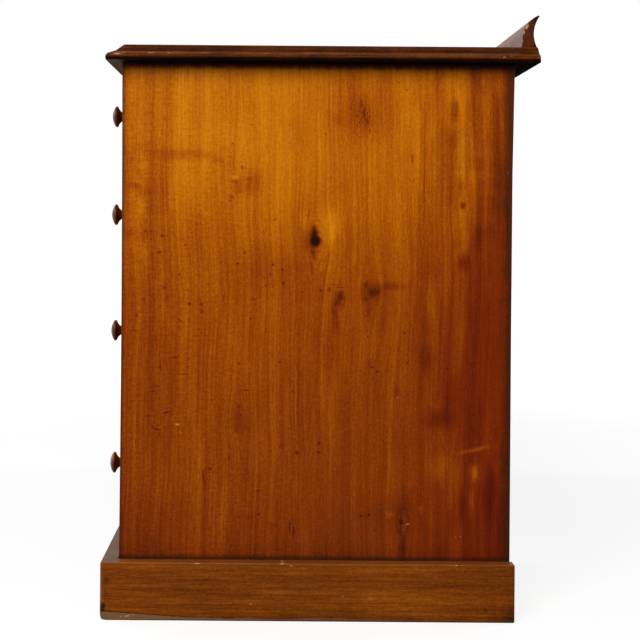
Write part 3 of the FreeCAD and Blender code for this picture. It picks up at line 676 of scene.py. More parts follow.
# The floor boards are pine with a walnut lipping in front.
LIPPING = 8 * MM
for side in ("right", "left"):
    node = "floor_board_" + side
    board = eased(node, 0.5 * MM, 0.2 * MM, 30 * MM)
    finish_piece(board, PINE, "carcase", node)
    board.data.materials.append(RAIL_WALNUT.material)
    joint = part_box(node)[0].y + LIPPING
    for face in board.data.polygons:
        if face.center.y < joint and abs(face.normal.x) < 0.7:
            face.material_index = 1
    dress("drawer_runners_" + side, PINE)
dress("centre_runners", PINE)
dress("drawer_stops", PINE)


# Backs: an upright pine board in each pedestal, sawn and left plain, and a polished walnut
# board across the back of the kneehole. Nailed into their rebates.
BACK_TONES = [
    (0.0, (0.080, 0.034, 0.011)), (0.3, (0.235, 0.118, 0.042)), (0.5, (0.390, 0.215, 0.085)),
    (0.7, (0.490, 0.300, 0.132)), (1.0, (0.600, 0.420, 0.220)),
]
# Knots in the back boards: metres along the desk, metres up, radius in millimetres.
BACK_KNOTS = [
    (0.345, 0.205, 11), (0.492, 0.535, 8), (0.415, 0.655, 6), (0.530, 0.130, 5),
    (-0.402, 0.412, 12), (-0.521, 0.168, 7), (-0.333, 0.628, 9), (-0.470, 0.690, 5),
]


def back_pine():
    """Sawn pine, browned with age, with round knots and darker heartwood down one board."""
    wood = Finish("back_pine", 2, 0.66, 0.2)
    tone, relief = walnut_figure(wood, 41.0)
    rings = wood.mottle(wood.lay(95, 2.2, 44.0), 3.0, 0.6, 0.8)
    tone = wood.total((tone, 1.2), (rings, 0.55), (0.42, 1.0))
    heart = wood.mark((0.425, 0.25, 0.35), (0.05, THROUGH, 0.6), 0, 0.1)
    tone = wood.times_plus(heart, -0.10, tone)
    for x, z, radius in BACK_KNOTS:
        reach = radius * MM
        halo = wood.mark((x, 0.25, z), (reach * 2.2, THROUGH, reach * 4.0), 0, 0.1)
        knot = wood.mark((x, 0.25, z), (reach, THROUGH, reach * 1.2), 0, 0.6)
        tone = wood.times_plus(knot, -0.22, wood.times_plus(halo, -0.10, tone))
    gloss = wood.times_plus(rings, 0.2, wood.roughness)
    wood.surface(wood.tones(tone, BACK_TONES), relief, 0.1 * MM, gloss)
    return wood


BACK_PINE = back_pine()
KNEEHOLE_WALNUT = plain_walnut("kneehole_walnut", 0, 51.0, 0.52)

for side in ("right", "left"):
    node = "back_board_" + side
    finish_piece(eased(node, 0.5 * MM, 0.2 * MM, 30 * MM), BACK_PINE,
                 "carcase", node)
finish_piece(eased("kneehole_panel", 0.6 * MM, 0.2 * MM, 30 * MM), KNEEHOLE_WALNUT,
             "carcase", "kneehole_panel")


# Plinth: three walnut boards round the foot of each pedestal, mitred at the front corners
# and nailed on; the top arris is rubbed pale, the front corner is worn grey, and the foot is
# scuffed and chipped, with a crack near the corner.
PLINTH_TONES = [
    (0.00, (0.010, 0.0030, 0.0006)), (0.25, (0.052, 0.0110, 0.0010)),
    (0.45, (0.140, 0.0290, 0.0012)), (0.62, (0.225, 0.0500, 0.0018)),
    (0.80, (0.345, 0.0980, 0.0060)), (1.00, (0.620, 0.3000, 0.1100)),
]


# Marks in the end and kneehole boards, in millimetres back from the front and up: half width,
# half height, lean, change of tone. Then chips to bare wood: half width, half height, lean.
PLINTH_MARKS = [
    # The second mark here darkens the notch at the front corner: painted shade.
    (9, 53, 6, 6, 20, -0.18), (2.5, 19, 6, 7, 0, -0.9), (80, 30, 70, 14, 0, 0.04),
    (528, 6, 26, 11, 2, -0.14), (215, 46, 90, 10, 1, 0.04), (330, 20, 50, 12, 0, -0.05),
    (450, 50, 60, 16, 0, -0.06), (509, 17, 4, 5, 0, -0.16), (234, 1, 14, 3, 0, -0.28),
    (300, 61, 8, 6, 0, -0.06),
]
PLINTH_CHIPS = [
    (36, 6, 5, 1.4, 8), (240, 75.9, 4.6, 0.8, 1), (199, 23, 1.4, 1.2, 0), (252, 73.6, 3.2, 0.7, 6),
    (470, 75.5, 1.6, 1.2, 0), (128, 75.6, 5, 0.9, 2), (320, 34, 1.2, 1, 0), (44, 8, 1.2, 1, 0),
    (28, 5, 1.6, 0.8, 0),
]


def plinth_walnut(name, grain, shift, low, high):
    """Scuffed walnut for one plinth board; only boards that run back have marks and chips."""
    wood = Finish(name, grain, 0.42, 0.06)
    tone, relief = walnut_figure(wood, shift)
    wavy = wood.mottle(wood.lay(420, 22.0, shift + 3), 2.0, 0.6, 0.4)
    x, y, up = wood.axes(wood.at)
    deep, long = wood.less(y, low.y), high.y - low.y
    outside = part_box("plinth_outer_right")[1].x
    back = wood.plus(deep, wood.less(outside, wood.calc("ABSOLUTE", x)))
    tone = wood.total((tone, 1.4), (wavy, 0.34))
    level = 0.54
    if grain:
        level = wood.rungs(wood.over(deep, long), [
            (0.005, 0.48), (0.03, 0.52), (0.24, 0.53), (0.48, 0.57), (0.72, 0.58), (0.87, 0.56),
            (0.98, 0.545),
        ])
    tone = wood.plus(tone, level)
    blotch = wood.mottle(wood.lay(60, 25, shift), 3.0, 0.6)
    spots = wood.dapple((260.0,) * 3, 2.0, 0.6)
    shaken = wood.total((blotch, 0.012), (spots, 0.004), (up, 1.0))
    tone = wood.plus(tone, wood.span(shaken, 0.012, 0.001, 0.0, -0.20))
    corner = (0, low.y, 0)
    if grain:
        far_end = wood.span(deep, long - 22 * MM, long)
        tone = wood.times_plus(wood.times(far_end, wood.span(up, 0.0, 0.034, 1.0, 0.15)), -0.26, tone)
        for *row, change in PLINTH_MARKS:
            tone = wood.times_plus(wood.spot(corner, row), change, tone)
    colour = wood.tones(tone, PLINTH_TONES)

    # The polish is rubbed off along the top arris, down the front corner and under a crack.
    patchy = wood.span(blotch, -0.10, 0.16, 0.25, 1.0)
    rubbed = wood.times(wood.times(wood.worn(), patchy), wood.span(up, 0.068, 0.0755, 0.0, 0.85))
    rubbed = wood.times(rubbed, wood.span(back, 0.10, 0.34, 1.0, 0.45))
    colour = wood.stain(colour, (0.310, 0.1450, 0.0450), rubbed)
    front = wood.times_plus(blotch, 0.004, back)
    front = wood.times(wood.span(front, 0.0005, 0.0060, 0.62, 0.0), patchy)
    colour = wood.stain(colour, (0.290, 0.1500, 0.0620), front)
    crack = wood.times_plus(back, -0.062, 0.0125)
    under = wood.less(wood.times_plus(spots, 0.0022, crack), up)
    scuffed = wood.less(wood.times_plus(blotch, 0.008, 0.0050), up)
    bare = wood.span(wood.calc("MAXIMUM", under, scuffed), 0.0, 0.0012, 0.0, 0.72)
    bare = wood.times(bare, wood.span(back, 0.50, 0.02, 0.15, 1.0))
    bare = wood.times(bare, wood.span(up, 0.0002, 0.0022, 0.3, 1.0))
    colour = wood.stain(colour, (0.200, 0.1180, 0.0560), bare)
    split = wood.span(wood.calc("ABSOLUTE", under), 0.0, 0.0011, 0.9, 0.0)
    split = wood.times(split, wood.span(back, 0.14, 0.10, 0.0, 1.0))
    colour = wood.stain(colour, (0.008, 0.0020, 0.0005), split)
    for row in PLINTH_CHIPS if grain else ():
        chip = wood.times(wood.spot(corner, row, core=0.4), 0.65)
        colour = wood.stain(colour, (0.560, 0.3300, 0.1500), chip)

    # Dust lies on the level top. The notch at the front corner is painted dark: painted shade.
    lying = wood.span(wood.facing()[2], 0.7, 0.95, 0.0, 1.0)
    dusty = wood.span(deep, 0.021, 0.026, 0.75, 0.22)
    colour = wood.stain(colour, (0.080, 0.0500, 0.0240), wood.times(lying, dusty))
    notch_shade = wood.mark((outside, low.y + 3 * MM, 16 * MM), (5 * MM, 5 * MM, 7 * MM), 0, 0.3)
    colour = wood.stain(colour, (0.030, 0.0110, 0.0020), wood.times(notch_shade, 0.85))
    wood.surface(colour, relief, 0.08 * MM, wood.times_plus(blotch, 0.25, wood.roughness))
    return wood


KNOCK_REACH, KNOCK_DEPTH = 9 * MM, 3 * MM
for side in ("right", "left"):
    for where, grain in (("front", 0), ("outer", 1), ("inner", 1)):
        node = "plinth_%s_%s" % (where, side)
        low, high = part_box(node)
        wood = plinth_walnut("walnut_" + node, grain, 60.0 + low.x * 7 + grain, low, high)
        board = eased(node, 1.5 * MM, 1.0 * MM, 6 * MM)
        corner = Vector((low.x if low.x < 0 else high.x, low.y, 0.0))
        inward = Vector((-math.copysign(0.5, low.x), 0.6, 0.5))
        for vertex in board.data.vertices:
            near = max(0.0, 1 - (corner - vertex.co).length / KNOCK_REACH)
            vertex.co += inward * near ** 2 * KNOCK_DEPTH
        finish_piece(board, wood, "carcase", node)


# Writing top: one wide board of dark walnut. Its front and ends are worked with a rounded
# nose, a slope, a small quirk and a bevel, mitred round the corners; its back is square.
def through(start, middle, end, steps):
    """Points on the arc from start through middle to end, start left out."""
    (ax, ay), (bx, by), (cx, cy) = start, middle, end
    turn = 2 * (ax * (by - cy) + bx * (cy - ay) + cx * (ay - by))
    a, b, c = ax * ax + ay * ay, bx * bx + by * by, cx * cx + cy * cy
    x = (a * (by - cy) + b * (cy - ay) + c * (ay - by)) / turn
    y = (a * (cx - bx) + b * (ax - cx) + c * (bx - ax)) / turn
    radius = math.hypot(ax - x, ay - y)
    first = math.atan2(ay - y, ax - x)
    sweep = (math.atan2(cy - y, cx - x) - first) % math.tau
    if (math.atan2(by - y, bx - x) - first) % math.tau > sweep:
        sweep -= math.tau
    angles = [first + sweep * n / steps for n in range(1, steps + 1)]
    return [(x + radius * math.cos(g), y + radius * math.sin(g)) for g in angles]


# The edge's section in millimetres: in from its outermost line, up from the underside.
EDGE_SECTION = [(0.7, 0.0)] + through((0.7, 0), (0, 3.1), (4.2, 9.8), 12) + [
    (7.5, 11.25), (10.9, 12.75), (13.9, 14.05), (14.25, 14.35), (15.45, 15.85), (15.8, 16.15),
    (19.5, 19.4), (22.7, 22.15), (23.2, 22.5), (23.9, 22.7),
]
EDGE_IN = 22.9          # millimetres from the outermost line to the level top
# Knocks in the edge at the right-hand end: metres back from the front, then millimetres:
# height, width and how deep.
KNOCKS = [
    (0.530, 7.0, 7.0, 0.9), (0.522, 5.0, 4.0, 0.6), (0.538, 8.0, 5.0, 0.5),
    (0.268, 9.0, 6.0, 0.35), (0.052, 8.5, 5.0, 0.3), (0.405, 11.0, 9.0, 0.3),
    (0.016, 7.7, 9.0, 0.35), (0.574, 9.0, 3.0, 0.7),
]


def closed_mesh(name, points, faces):
    """A mesh of these faces, all turned outwards."""
    mesh = bpy.data.meshes.new(name)
    mesh.from_pydata(points, [], faces)
    turned = bmesh.new()
    turned.from_mesh(mesh)
    bmesh.ops.recalc_face_normals(turned, faces=turned.faces)
    turned.to_mesh(mesh)
    turned.free()
    return mesh


def stations_along(length):
    """Shares of a length from one corner on, close together near the corner."""
    steps = [v * MM for v in (0.0, 0.6, 1.4, 2.6, 4.5)]
    count = int(length / (6 * MM))
    rest = [steps[-1] + (length - steps[-1]) * n / count for n in range(1, count + 1)]
    return [v / length for v in steps + rest]


def top_mesh():
    """The section carried round the top, from the right end's back to the left end's back."""
    low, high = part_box("top_board")
    half, front, deep = high.x, low.y, high.y - low.y
    ends, along = stations_along(deep), stations_along(half)
    stations = [("right", t) for t in reversed(ends)]
    stations += [("front", 1 - t) for t in along[1:]]
    stations += [("front", t - 1) for t in reversed(along[1:-1])]
    stations += [("left", t) for t in ends]
    points = []
    for where, t in stations:
        for inset, rise in EDGE_SECTION:
            inset, rise = inset * MM, rise * MM
            if where == "front":
                x, y = t * (half - inset), front + inset
                corner_gap = (1 - abs(t)) * half
            else:
                x, y = half - inset, front + inset + t * (deep - inset)
                corner_gap = deep * t
                if where == "left":
                    x = -x
            shake = noise.noise(Vector((x, y, rise)) * 26)
            shake += 0.6 * noise.noise(Vector((x, y, rise * 3)) * 90)
            draw = 0.16 * MM * max(0.0, shake + 0.2)
            corner = math.exp(-min(corner_gap, 1.0) / (1.6 * MM))
            draw += 0.35 * MM * corner * max(0.0, 1 - inset / (14 * MM))
            if where == "right":
                for depth, height, width, sink in KNOCKS:
                    far = math.hypot(y - front - depth, (rise - height * MM) * 1.6) / (width * MM)
                    draw += sink * MM * max(0.0, 1 - far) ** 0.7
            draw *= max(0.0, min(1.0, (EDGE_IN * MM - inset) / (4 * MM)))
            round_corner = draw * corner if corner > 0.01 else 0.0
            if where == "front":
                y += draw
                x -= math.copysign(round_corner, x)
            else:
                x -= math.copysign(draw, x)
                y += round_corner
            points.append((x, y, low.z + rise))
    rows, wide = len(stations), len(EDGE_SECTION)
    faces = []
    for s in range(rows - 1):
        for k in range(wide - 1):
            a = s * wide + k
            faces.append((a, a + 1, a + wide + 1, a + wide))
    faces.append([s * wide + wide - 1 for s in range(rows)])
    faces.append([s * wide for s in reversed(range(rows))])
    last = (rows - 1) * wide
    faces.append(list(reversed(range(wide))) + list(range(last, last + wide)))
    return closed_mesh("top", points, faces)


DARK_TONES = [
    (0.00, (0.004, 0.0012, 0.0004)), (0.25, (0.022, 0.0058, 0.0012)),
    (0.50, (0.070, 0.0150, 0.0020)), (0.70, (0.150, 0.0360, 0.0032)),
    (0.85, (0.250, 0.0760, 0.0090)), (1.00, (0.420, 0.2000, 0.0800)),
]


# The edge's tone, by its height over the underside in millimetres: near black below, painted
# shade where the nose turns under; dark in the hollows, the slope rubbed lighter, a thin reddish line
# over the quirk.
EDGE_TONES = [
    (0.0, 0.02), (2.4, 0.05), (4.0, 0.20), (6.0, 0.56), (9.4, 0.64), (11.8, 0.58), (13.0, 0.34),
    (14.0, 0.26), (14.6, 0.50), (15.8, 0.32), (17.2, 0.50), (20.4, 0.44), (22.0, 0.58),
    (22.7, 0.52),
]
# Painted highlights along the roll of the right-hand end, some over its knocks, in millimetres:
# back from the front, up from the underside, half width, half height, lean, and share of pale.
EDGE_HIGHLIGHTS = [
    (15, 7.8, 8.0, 1.7, 3, 1.0), (24, 10.0, 5.0, 0.9, 0, 0.6), (60, 9.6, 6.0, 0.9, 0, 0.7),
    (84, 9.8, 4.0, 0.9, 0, 0.6), (132, 10.2, 9.0, 0.6, 0, 0.4), (212, 9.7, 5.0, 0.7, 0, 0.45),
    (268, 9.4, 4.0, 0.9, 0, 0.4), (341, 10.1, 7.0, 0.6, 0, 0.3), (405, 10.6, 6.0, 0.8, 0, 0.35),
    (476, 9.8, 5.0, 0.6, 0, 0.3), (526, 6.6, 2.6, 1.2, 30, 0.5), (536, 8.2, 2.0, 1.0, -20, 0.4),
    (571, 6.0, 1.8, 2.4, 0, 0.3),
]


def dark_walnut(name, shift, level, roughness, specular):
    """Dark polished walnut, begun: all but its colour is joined, and its tone returned."""
    wood = Finish(name, 0, roughness, specular)
    tone, relief = walnut_figure(wood, shift)
    gloss = wood.times_plus(wood.mottle(wood.lay(45, 18, shift), 3.0), 0.25, roughness)
    wood.surface(None, relief, 0.07 * MM, gloss)
    return wood, wood.times_plus(tone, 0.9, level)


def top_walnut(name, roughness, specular):
    """Walnut of the top: streaked along its moulded edge, rubbed where the sitter's arms go."""
    wood, tone = dark_walnut(name, 71.0, -0.02, roughness, specular)
    low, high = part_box("top_board")
    up, thick = wood.axes(wood.at)[2], high.z - low.z
    rise = wood.over(wood.less(up, low.z), thick)
    edge = wood.rungs(rise, [(height * MM / thick, level) for height, level in EDGE_TONES])
    patch = wood.dapple((60.0, 60.0, 260.0), 3.0, 0.6)
    drawn = wood.dapple((14.0, 14.0, 380.0), 2.0, 0.6)
    tone = wood.total((patch, 0.28), (drawn, 0.55), (edge, 1.0), (tone, 1.0))

    # The writing surface: rubbed lighter where the arms rest, with scratches in the polish.
    flat = wood.span(up, high.z - 0.2 * MM, high.z - 0.05 * MM)
    arms = wood.mark((0.0, -0.16, high.z), (0.46, 0.17, THROUGH), 0.0, 0.1)
    use = wood.mottle(wood.lay(5, 9, 3.0), 4.0, 0.6, 0.8)
    used = wood.times(arms, wood.times_plus(use, 0.5, 0.12))
    tone = wood.times_plus(used, flat, tone)
    scratch = wood.span(wood.dapple((9.0, 900.0, 1.0), 1.0, 0.5, 0.6), 0.26, 0.34, 0.0, 0.12)
    tone = wood.plus(tone, wood.times(scratch, flat))
    colour = wood.tones(tone, DARK_TONES)
    patchy = wood.span(patch, -0.15, 0.10, 0.3, 1.0)
    # Painted highlights: pale spots on the roll of the right-hand end, broken up by the patches.
    for *row, share in EDGE_HIGHLIGHTS:
        rub = wood.times(wood.spot((high.x, low.y, low.z), row, 0.03), patchy)
        colour = wood.stain(colour, (0.60, 0.36, 0.25), wood.times(rub, share))
    wood.coat(colour)
    return wood


RAW_TONES = [
    (0.0, (0.006, 0.0055, 0.0035)), (0.3, (0.018, 0.0160, 0.0110)), (0.6, (0.090, 0.0750, 0.0500)),
    (1.0, (0.300, 0.2600, 0.1900)),
]


def raw_walnut():
    """The sawn underside, never polished: grey in front, where light reaches, dark behind."""
    wood, tone = dark_walnut("raw_walnut", 75.0, 0.0, 0.8, 0.02)
    wood.shader.inputs["IOR"].default_value = 1.06
    x, y, up = wood.axes(wood.at)
    depth = wood.less(y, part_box("top_board")[0].y)
    # Painted light: the underside is lighter towards the front, where light reaches it.
    tone = wood.plus(wood.span(depth, 0.0, 0.50, 1.0, 0.12), tone)
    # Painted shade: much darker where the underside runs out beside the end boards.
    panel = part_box("end_panel_right")[1].x
    beside = wood.span(wood.calc("ABSOLUTE", x), panel - 9 * MM, panel + 4 * MM)
    beside = wood.times(beside, wood.span(depth, 0.012, 0.034))
    tone = wood.times_plus(beside, -0.95, tone)
    wood.coat(wood.tones(tone, RAW_TONES))
    return wood


TOP_WALNUT = top_walnut("top_walnut", 0.32, 0.24)
EDGE_WALNUT = top_walnut("top_edge_walnut", 0.34, 0.02)
EDGE_WALNUT.shader.inputs["IOR"].default_value = 1.3
RAW_WALNUT = raw_walnut()
top = put("top_board_walnut", top_mesh())
top_low, top_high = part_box("top_board")
seat_low, seat_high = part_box("gallery_rail")
seat_high.y, seat_high.z = top_high.y + 2 * MM, top_high.z + 2 * MM
seat = blank("seat", seat_low, seat_high, 0.01 * MM, 0, 1)
carve(top, seat, "DIFFERENCE")
bpy.data.objects.remove(seat)
finish_piece(top, TOP_WALNUT, "carcase", "top_board")
for wood in (EDGE_WALNUT, RAW_WALNUT):
    top.data.materials.append(wood.material)
for face in top.data.polygons:
    if face.normal.z < -0.9 and face.center.z < top_low.z + 1 * MM:
        face.material_index = 2
    elif face.center.z < top_high.z - 0.1 * MM:
        face.material_index = 1


# Gallery: a low rail let into the back of the top, rounded in front and hollow behind, so
# that its crest leans back; its right-hand end is chipped along the front arris.
# Each chip in millimetres: up from the top, back from the rail's front, width, how deep.
GALLERY_CHIPS = [
    (28.0, 7.2, 3.6, 1.4), (32.5, 8.6, 2.6, 0.9), (20.5, 3.6, 2.8, 1.1), (25.0, 5.2, 1.8, 0.4),
]


def drawn_in(outline, draw):
    """A closed outline moved inwards, every side by the same amount."""
    moved = []
    for number, (x, y) in enumerate(outline):
        px, py = outline[number - 1]
        nx, ny = outline[(number + 1) % len(outline)]
        ax, ay = x - px, y - py
        bx, by = nx - x, ny - y
        al, bl = math.hypot(ax, ay), math.hypot(bx, by)
        sx, sy = -(ay / al + by / bl), ax / al + bx / bl
        length = math.hypot(sx, sy)
        sx, sy = sx / length, sy / length
        slant = max(0.5, abs(-ay / al * sx + ax / al * sy))
        moved.append((x + sx * draw / slant, y + sy * draw / slant))
    return moved


def gallery_mesh():
    """The rail's section carried along it, both ends softly rounded."""
    low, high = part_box("gallery_rail")
    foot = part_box("top_board")[1].z
    outline = [(21.0, -4.0), (21.0, 0.0)] + through((21, 0), (16.4, 20.5), (23.55, 41.6), 20)
    outline += [(23.7, 42.2), (23.55, 42.8), (23.1, 43.2), (22.5, 43.35)]
    outline += through((22.5, 43.35), (6.4, 30.2), (1.2, 12), 22)
    outline += [(0.75, 7.5), (0.3, 3.0), (0.0, 0.0), (0.0, -4.0)]
    soft = 1.1
    ends = [(soft * (1 - math.cos(math.radians(g))), soft * (1 - math.sin(math.radians(g))))
            for g in (0, 22, 45, 68, 90)]
    count = int((high.x - low.x) / (7 * MM))
    inner = high.x - low.x - 2 * soft * MM
    stations = [(high.x - a * MM, d) for a, d in ends]
    stations += [(high.x - soft * MM - inner * n / count, 0.0) for n in range(1, count)]
    stations += [(low.x + a * MM, d) for a, d in reversed(ends)]
    points = []
    for x, draw in stations:
        for a, b in drawn_in(outline, draw):
            spot = Vector((x, low.y + a * MM, foot + b * MM))
            shake = abs(noise.noise(spot * 30)) * 0.12 * MM
            spot.z -= shake * (b > 8)
            if x > high.x - 4 * MM:
                for rise, deep, width, sink in GALLERY_CHIPS:
                    gap = Vector(((high.x - x) / MM * 0.8, a - deep * 0.6, b - rise)).length / width
                    bite = sink * MM * max(0.0, 1 - gap) ** 0.6
                    spot.x -= bite
                    spot.y += bite * 0.8
            points.append(spot)
    wide, rows = len(outline), len(stations)
    faces = []
    for s in range(rows - 1):
        for k in range(wide):
            n = (k + 1) % wide
            faces.append((s * wide + k, s * wide + n, (s + 1) * wide + n, (s + 1) * wide + k))
    faces.append(list(range(wide))[::-1])
    faces.append(list(range((rows - 1) * wide, rows * wide)))
    return closed_mesh("gallery", points, faces)


def gallery_walnut():
    """Dark at the crest and behind; the sawn ends browner, with pale chips in the arris."""
    wood, tone = dark_walnut("gallery_walnut", 81.0, 0.0, 0.34, 0.06)
    low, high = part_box("gallery_rail")
    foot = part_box("top_board")[1].z
    x, y, up = wood.axes(wood.at)
    level = wood.rungs(wood.over(wood.less(up, foot), high.z - foot), [
        (0.0, 0.50), (0.12, 0.62), (0.45, 0.59), (0.80, 0.54), (0.90, 0.36), (1.0, 0.16),
    ])
    hollow = wood.span(wood.less(y, low.y), 15.0 * MM, 17.5 * MM, 0.0, -0.30)
    tone = wood.plus(wood.plus(level, tone), hollow)
    speck = wood.dapple((0.0, 420.0, 420.0), 2.0, 0.6)
    patch = wood.dapple((0.0, 110.0, 110.0), 2.0, 0.6)
    sawn = wood.total((speck, 0.30), (patch, 0.30), (level, 0.55))
    sawn = wood.plus(wood.times_plus(hollow, 0.8, sawn), 0.17)
    ends = wood.span(wood.calc("ABSOLUTE", x), high.x - 2.4 * MM, high.x - 0.9 * MM)
    colour = wood.stain(wood.tones(tone, DARK_TONES), wood.tones(sawn, DARK_TONES), ends)
    for *row, share in (
        (7.2, 28.0, 2.2, 5.2, -24, 0.95), (3.2, 20.5, 1.6, 3.2, -12, 0.8),
        (14.0, 38.5, 1.8, 1.1, -40, 0.4), (1.2, 9.0, 1.0, 2.4, 0, 0.5),
    ):
        chip = wood.spot((high.x, low.y, foot), row, 0.006, 0.2)
        colour = wood.stain(colour, (0.50, 0.31, 0.18), wood.times(chip, share))
    wood.coat(colour)
    return wood


GALLERY_WALNUT = gallery_walnut()
gallery = put("gallery_rail_walnut", gallery_mesh())
finish_piece(gallery, GALLERY_WALNUT, "carcase", "gallery_rail")


# Drawers: walnut fronts with their grain lying, dovetailed to plain thin sides and a back,
# each on a bottom slid into grooves.
FRONT_WALNUT = plain_walnut("front_walnut", 0, 91.0, 0.66)
LINING_TONES = [
    (0.0, (0.100, 0.055, 0.025)), (0.3, (0.240, 0.145, 0.070)), (0.5, (0.400, 0.265, 0.145)),
    (0.7, (0.520, 0.370, 0.220)), (1.0, (0.640, 0.500, 0.330)),
]
LINING = planed_wood("drawer_lining", LINING_TONES, 0.52, 101.0)

drawers = ["%s_%d" % (side, number) for side in ("right", "left") for number in (1, 2, 3, 4)]
drawers.append("centre")
for name in drawers:
    front = eased("front_" + name, 0.9 * MM, 0.35 * MM, 10 * MM)
    finish_piece(front, FRONT_WALNUT, "drawer_" + name, "front_" + name)
    dress("box_" + name, LINING)
    dress("bottom_" + name, LINING)


# Knobs: turned in one piece from dark wood, with a domed face, a rounded rim, a hollow back
# running down to a thin neck, a small collar, and a tenon glued into the drawer front.
# Millimetres, and the section's points as radius and reach out of the drawer front.
KNOB_RIM, CROWN_FOOT, KNOB_LENGTH, TENON = 13.6, 25.1, 29, 15
KNOB_TURNS = 56
CROWN_STEPS = 9
KNOB_SECTION = [(5.0, -TENON), (5.0, 0.0), (7.7, 0.0), (8.0, 0.3), (8.0, 1.7), (7.8, 2.0)]
KNOB_SECTION += through((7.8, 2.0), (5.2, 4.6), (4.3, 10.0), 8)
KNOB_SECTION += through((4.3, 10.0), (6.9, 16.0), (KNOB_RIM, 20.7), 12)
KNOB_SECTION += through((KNOB_RIM, 20.7), (15.0, 22.9), (KNOB_RIM, CROWN_FOOT), 10)
crown = KNOB_LENGTH - CROWN_FOOT
dome = (crown ** 2 + KNOB_RIM ** 2) / (2 * crown)
for step in range(1, CROWN_STEPS):
    lean = math.asin(KNOB_RIM / dome) * (1 - step / CROWN_STEPS)
    KNOB_SECTION.append((dome * math.sin(lean), KNOB_LENGTH - dome * (1 - math.cos(lean))))


def knob_mesh(centre, front):
    """One knob round its axis, which points out of the drawer front."""
    x, z = centre
    points = [Vector((x, front + TENON * MM, z))]
    for radius, reach in KNOB_SECTION:
        for turn in range(KNOB_TURNS):
            angle, out = math.tau * turn / KNOB_TURNS, radius * MM
            points.append((x + out * math.cos(angle), front - reach * MM, z + out * math.sin(angle)))
    points.append(Vector((x, front - KNOB_LENGTH * MM, z)))
    faces = []
    for turn in range(KNOB_TURNS):
        following = (turn + 1) % KNOB_TURNS
        faces.append((0, 1 + following, 1 + turn))
        for ring in range(len(KNOB_SECTION) - 1):
            a = 1 + ring * KNOB_TURNS
            b = a + KNOB_TURNS
            faces.append((a + turn, a + following, b + following, b + turn))
        end = 1 + (len(KNOB_SECTION) - 1) * KNOB_TURNS
        faces.append((end + turn, end + following, len(points) - 1))
    mesh = bpy.data.meshes.new("knob")
    mesh.from_pydata(points, [], faces)
    return mesh


def knob_wood():
    """Near black behind, red-brown on the face; each knob has its own shade."""
    wood, tone = dark_walnut("knob_wood", 111.0, 0.26, 0.30, 0.14)
    facing = wood.facing()[1]
    face = wood.span(facing, 0.50, 0.05)
    tone = wood.times_plus(face, 0.24, tone)
    tone = wood.plus(tone, wood.span(facing, -0.30, -0.88, 0.10, -0.12))
    tone = wood.times_plus(wood.node("ObjectInfo")["Random"], 0.06, tone)
    rubbed = wood.dapple((60.0,) * 3, 3.0, 0.6)
    tone = wood.times_plus(wood.times(rubbed, face), 0.5, tone)
    colour = wood.tones(tone, DARK_TONES)

    # The lowest right-hand knob is rubbed golden on the side to the end of the desk.
    low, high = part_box("knob_right_4")
    golden = wood.mark((high.x, low.y, high.z), (0.05, 0.009, 0.022), 0, 0.2)
    wood.coat(wood.stain(colour, (0.40, 0.155, 0.045), wood.times(golden, 0.7)))
    return wood


KNOB_WOOD = knob_wood()
for name in drawers:
    node = "knobs_centre" if name == "centre" else "knob_" + name
    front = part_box("front_" + name)[0].y
    turned = []
    for low, high in members(node):
        middle = (low + high) / 2
        turned.append(put("knob", knob_mesh((middle.x, middle.z), front)))
    knob = gather(node + "_turned", turned)
    finish_piece(knob, KNOB_WOOD, "drawer_" + name, node)


# Plain studio: a pale paper floor, white all round, a large soft lamp high in front of the
# right-hand end, and weaker ones in front and behind.
def seen_directly(tree):
    """1 for what the camera, a reflection or glass sees, 0 for what lights the desk."""
    path = tree.nodes.new("ShaderNodeLightPath").outputs
    seen = path["Is Camera Ray"]
    for ray in ("Is Glossy Ray", "Is Transmission Ray"):
        either = tree.nodes.new("ShaderNodeMath")
        either.operation = "MAXIMUM"
        tree.links.new(seen, either.inputs[0])
        tree.links.new(path[ray], either.inputs[1])
        seen = either.outputs[0]
    return seen


def paper_floor():
    """A sheet of pale paper that fades to white away from the desk."""
    mesh = bpy.data.meshes.new("floor")
    sheet = bmesh.new()
    bmesh.ops.create_grid(sheet, x_segments=4, y_segments=4, size=9)
    sheet.to_mesh(mesh)
    sheet.free()
    paper = Finish("studio_paper", 0, 0.9, 0.1)
    paper.coat((0.2, 0.2, 0.2, 1))
    paper.shader.inputs["Emission Color"].default_value = (1, 1, 1, 1)
    away = paper.span(paper.vector("LENGTH", paper.at), 1.2, 3.0, 0.80, 1.0)
    glow = paper.times(seen_directly(paper.tree), away)
    paper.feed(paper.shader.inputs["Emission Strength"], glow)
    mesh.materials.append(paper.material)
    put("floor", mesh)


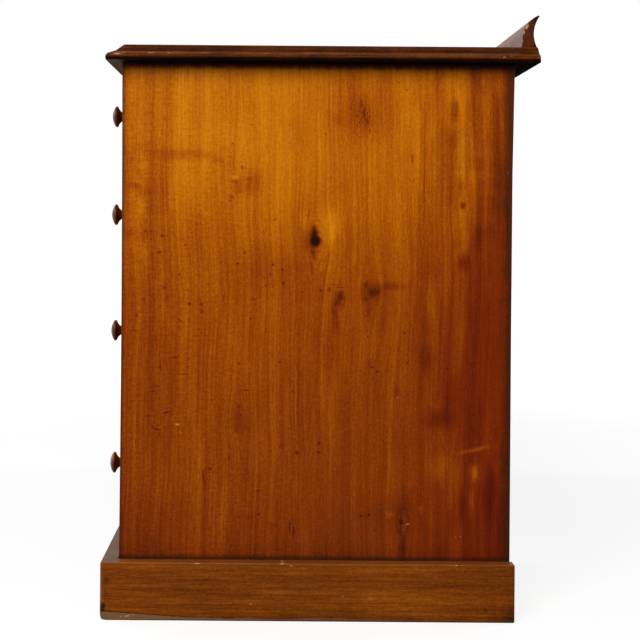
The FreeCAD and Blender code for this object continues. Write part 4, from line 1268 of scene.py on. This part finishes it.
def white_world():
    """White to look at, and a weak even light on the desk."""
    world = bpy.data.worlds.new("studio")
    bpy.context.scene.world = world
    world.use_nodes = True
    nodes, links = world.node_tree.nodes, world.node_tree.links
    fill, white = nodes["Background"], nodes.new("ShaderNodeBackground")
    for light, strength in ((fill, 0.18), (white, 1.0)):
        light.inputs["Color"].default_value = (1, 1, 1, 1)
        light.inputs["Strength"].default_value = strength
    mix = nodes.new("ShaderNodeMixShader")
    shares = (seen_directly(world.node_tree), fill.outputs[0], white.outputs[0])
    for number, output in enumerate(shares):
        links.new(output, mix.inputs[number])
    links.new(mix.outputs[0], nodes["World Output"].inputs["Surface"])


def lamp(name, place, aim, size, power):
    """A round soft lamp, turned to a point."""
    light = bpy.data.lights.new(name, "AREA")
    light.shape = "DISK"
    light.size = size
    light.energy = power
    holder = bpy.data.objects.new(name, light)
    holder.location = place
    holder.rotation_euler = (Vector(aim) - Vector(place)).to_track_quat("-Z", "Y").to_euler()
    bpy.context.scene.collection.objects.link(holder)


paper_floor()
white_world()
lamp("key", (3.15, -0.9, 2.72), (0.585, 0, 0.6), 2.6, 141)
lamp("front_fill", (-1.6, -4.0, 2.2), (0, -0.2, 0.4), 1.6, 90)
lamp("back_fill", (-1.6, 4.0, 2.4), (0, 0.2, 0.4), 1.6, 70)
bpy.context.scene.view_settings.view_transform = "Standard"


# Camera: square to the right-hand end, level with the upper drawers; the lens is shifted
# so that the desk stands where it does in the picture, and leans by a hair.
VIEW_DISTANCE, VIEW_BACK, VIEW_HEIGHT, VIEW_LEAN = 1.9, 0.201, 0.528, -0.43
camera = bpy.data.cameras.new("camera")
camera.sensor_width = 36
camera.lens = 81.17
camera.shift_x = 0.0753
camera.shift_y = -0.1547
viewer = bpy.data.objects.new("camera", camera)
front_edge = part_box("end_panel_right")[0].y
viewer.location = (top_high.x + VIEW_DISTANCE, front_edge + VIEW_BACK, VIEW_HEIGHT)
viewer.rotation_euler = [math.radians(turn) for turn in (90, VIEW_LEAN, 90)]
bpy.context.scene.collection.objects.link(viewer)
bpy.context.scene.camera = viewer

bpy.context.view_layer.update()
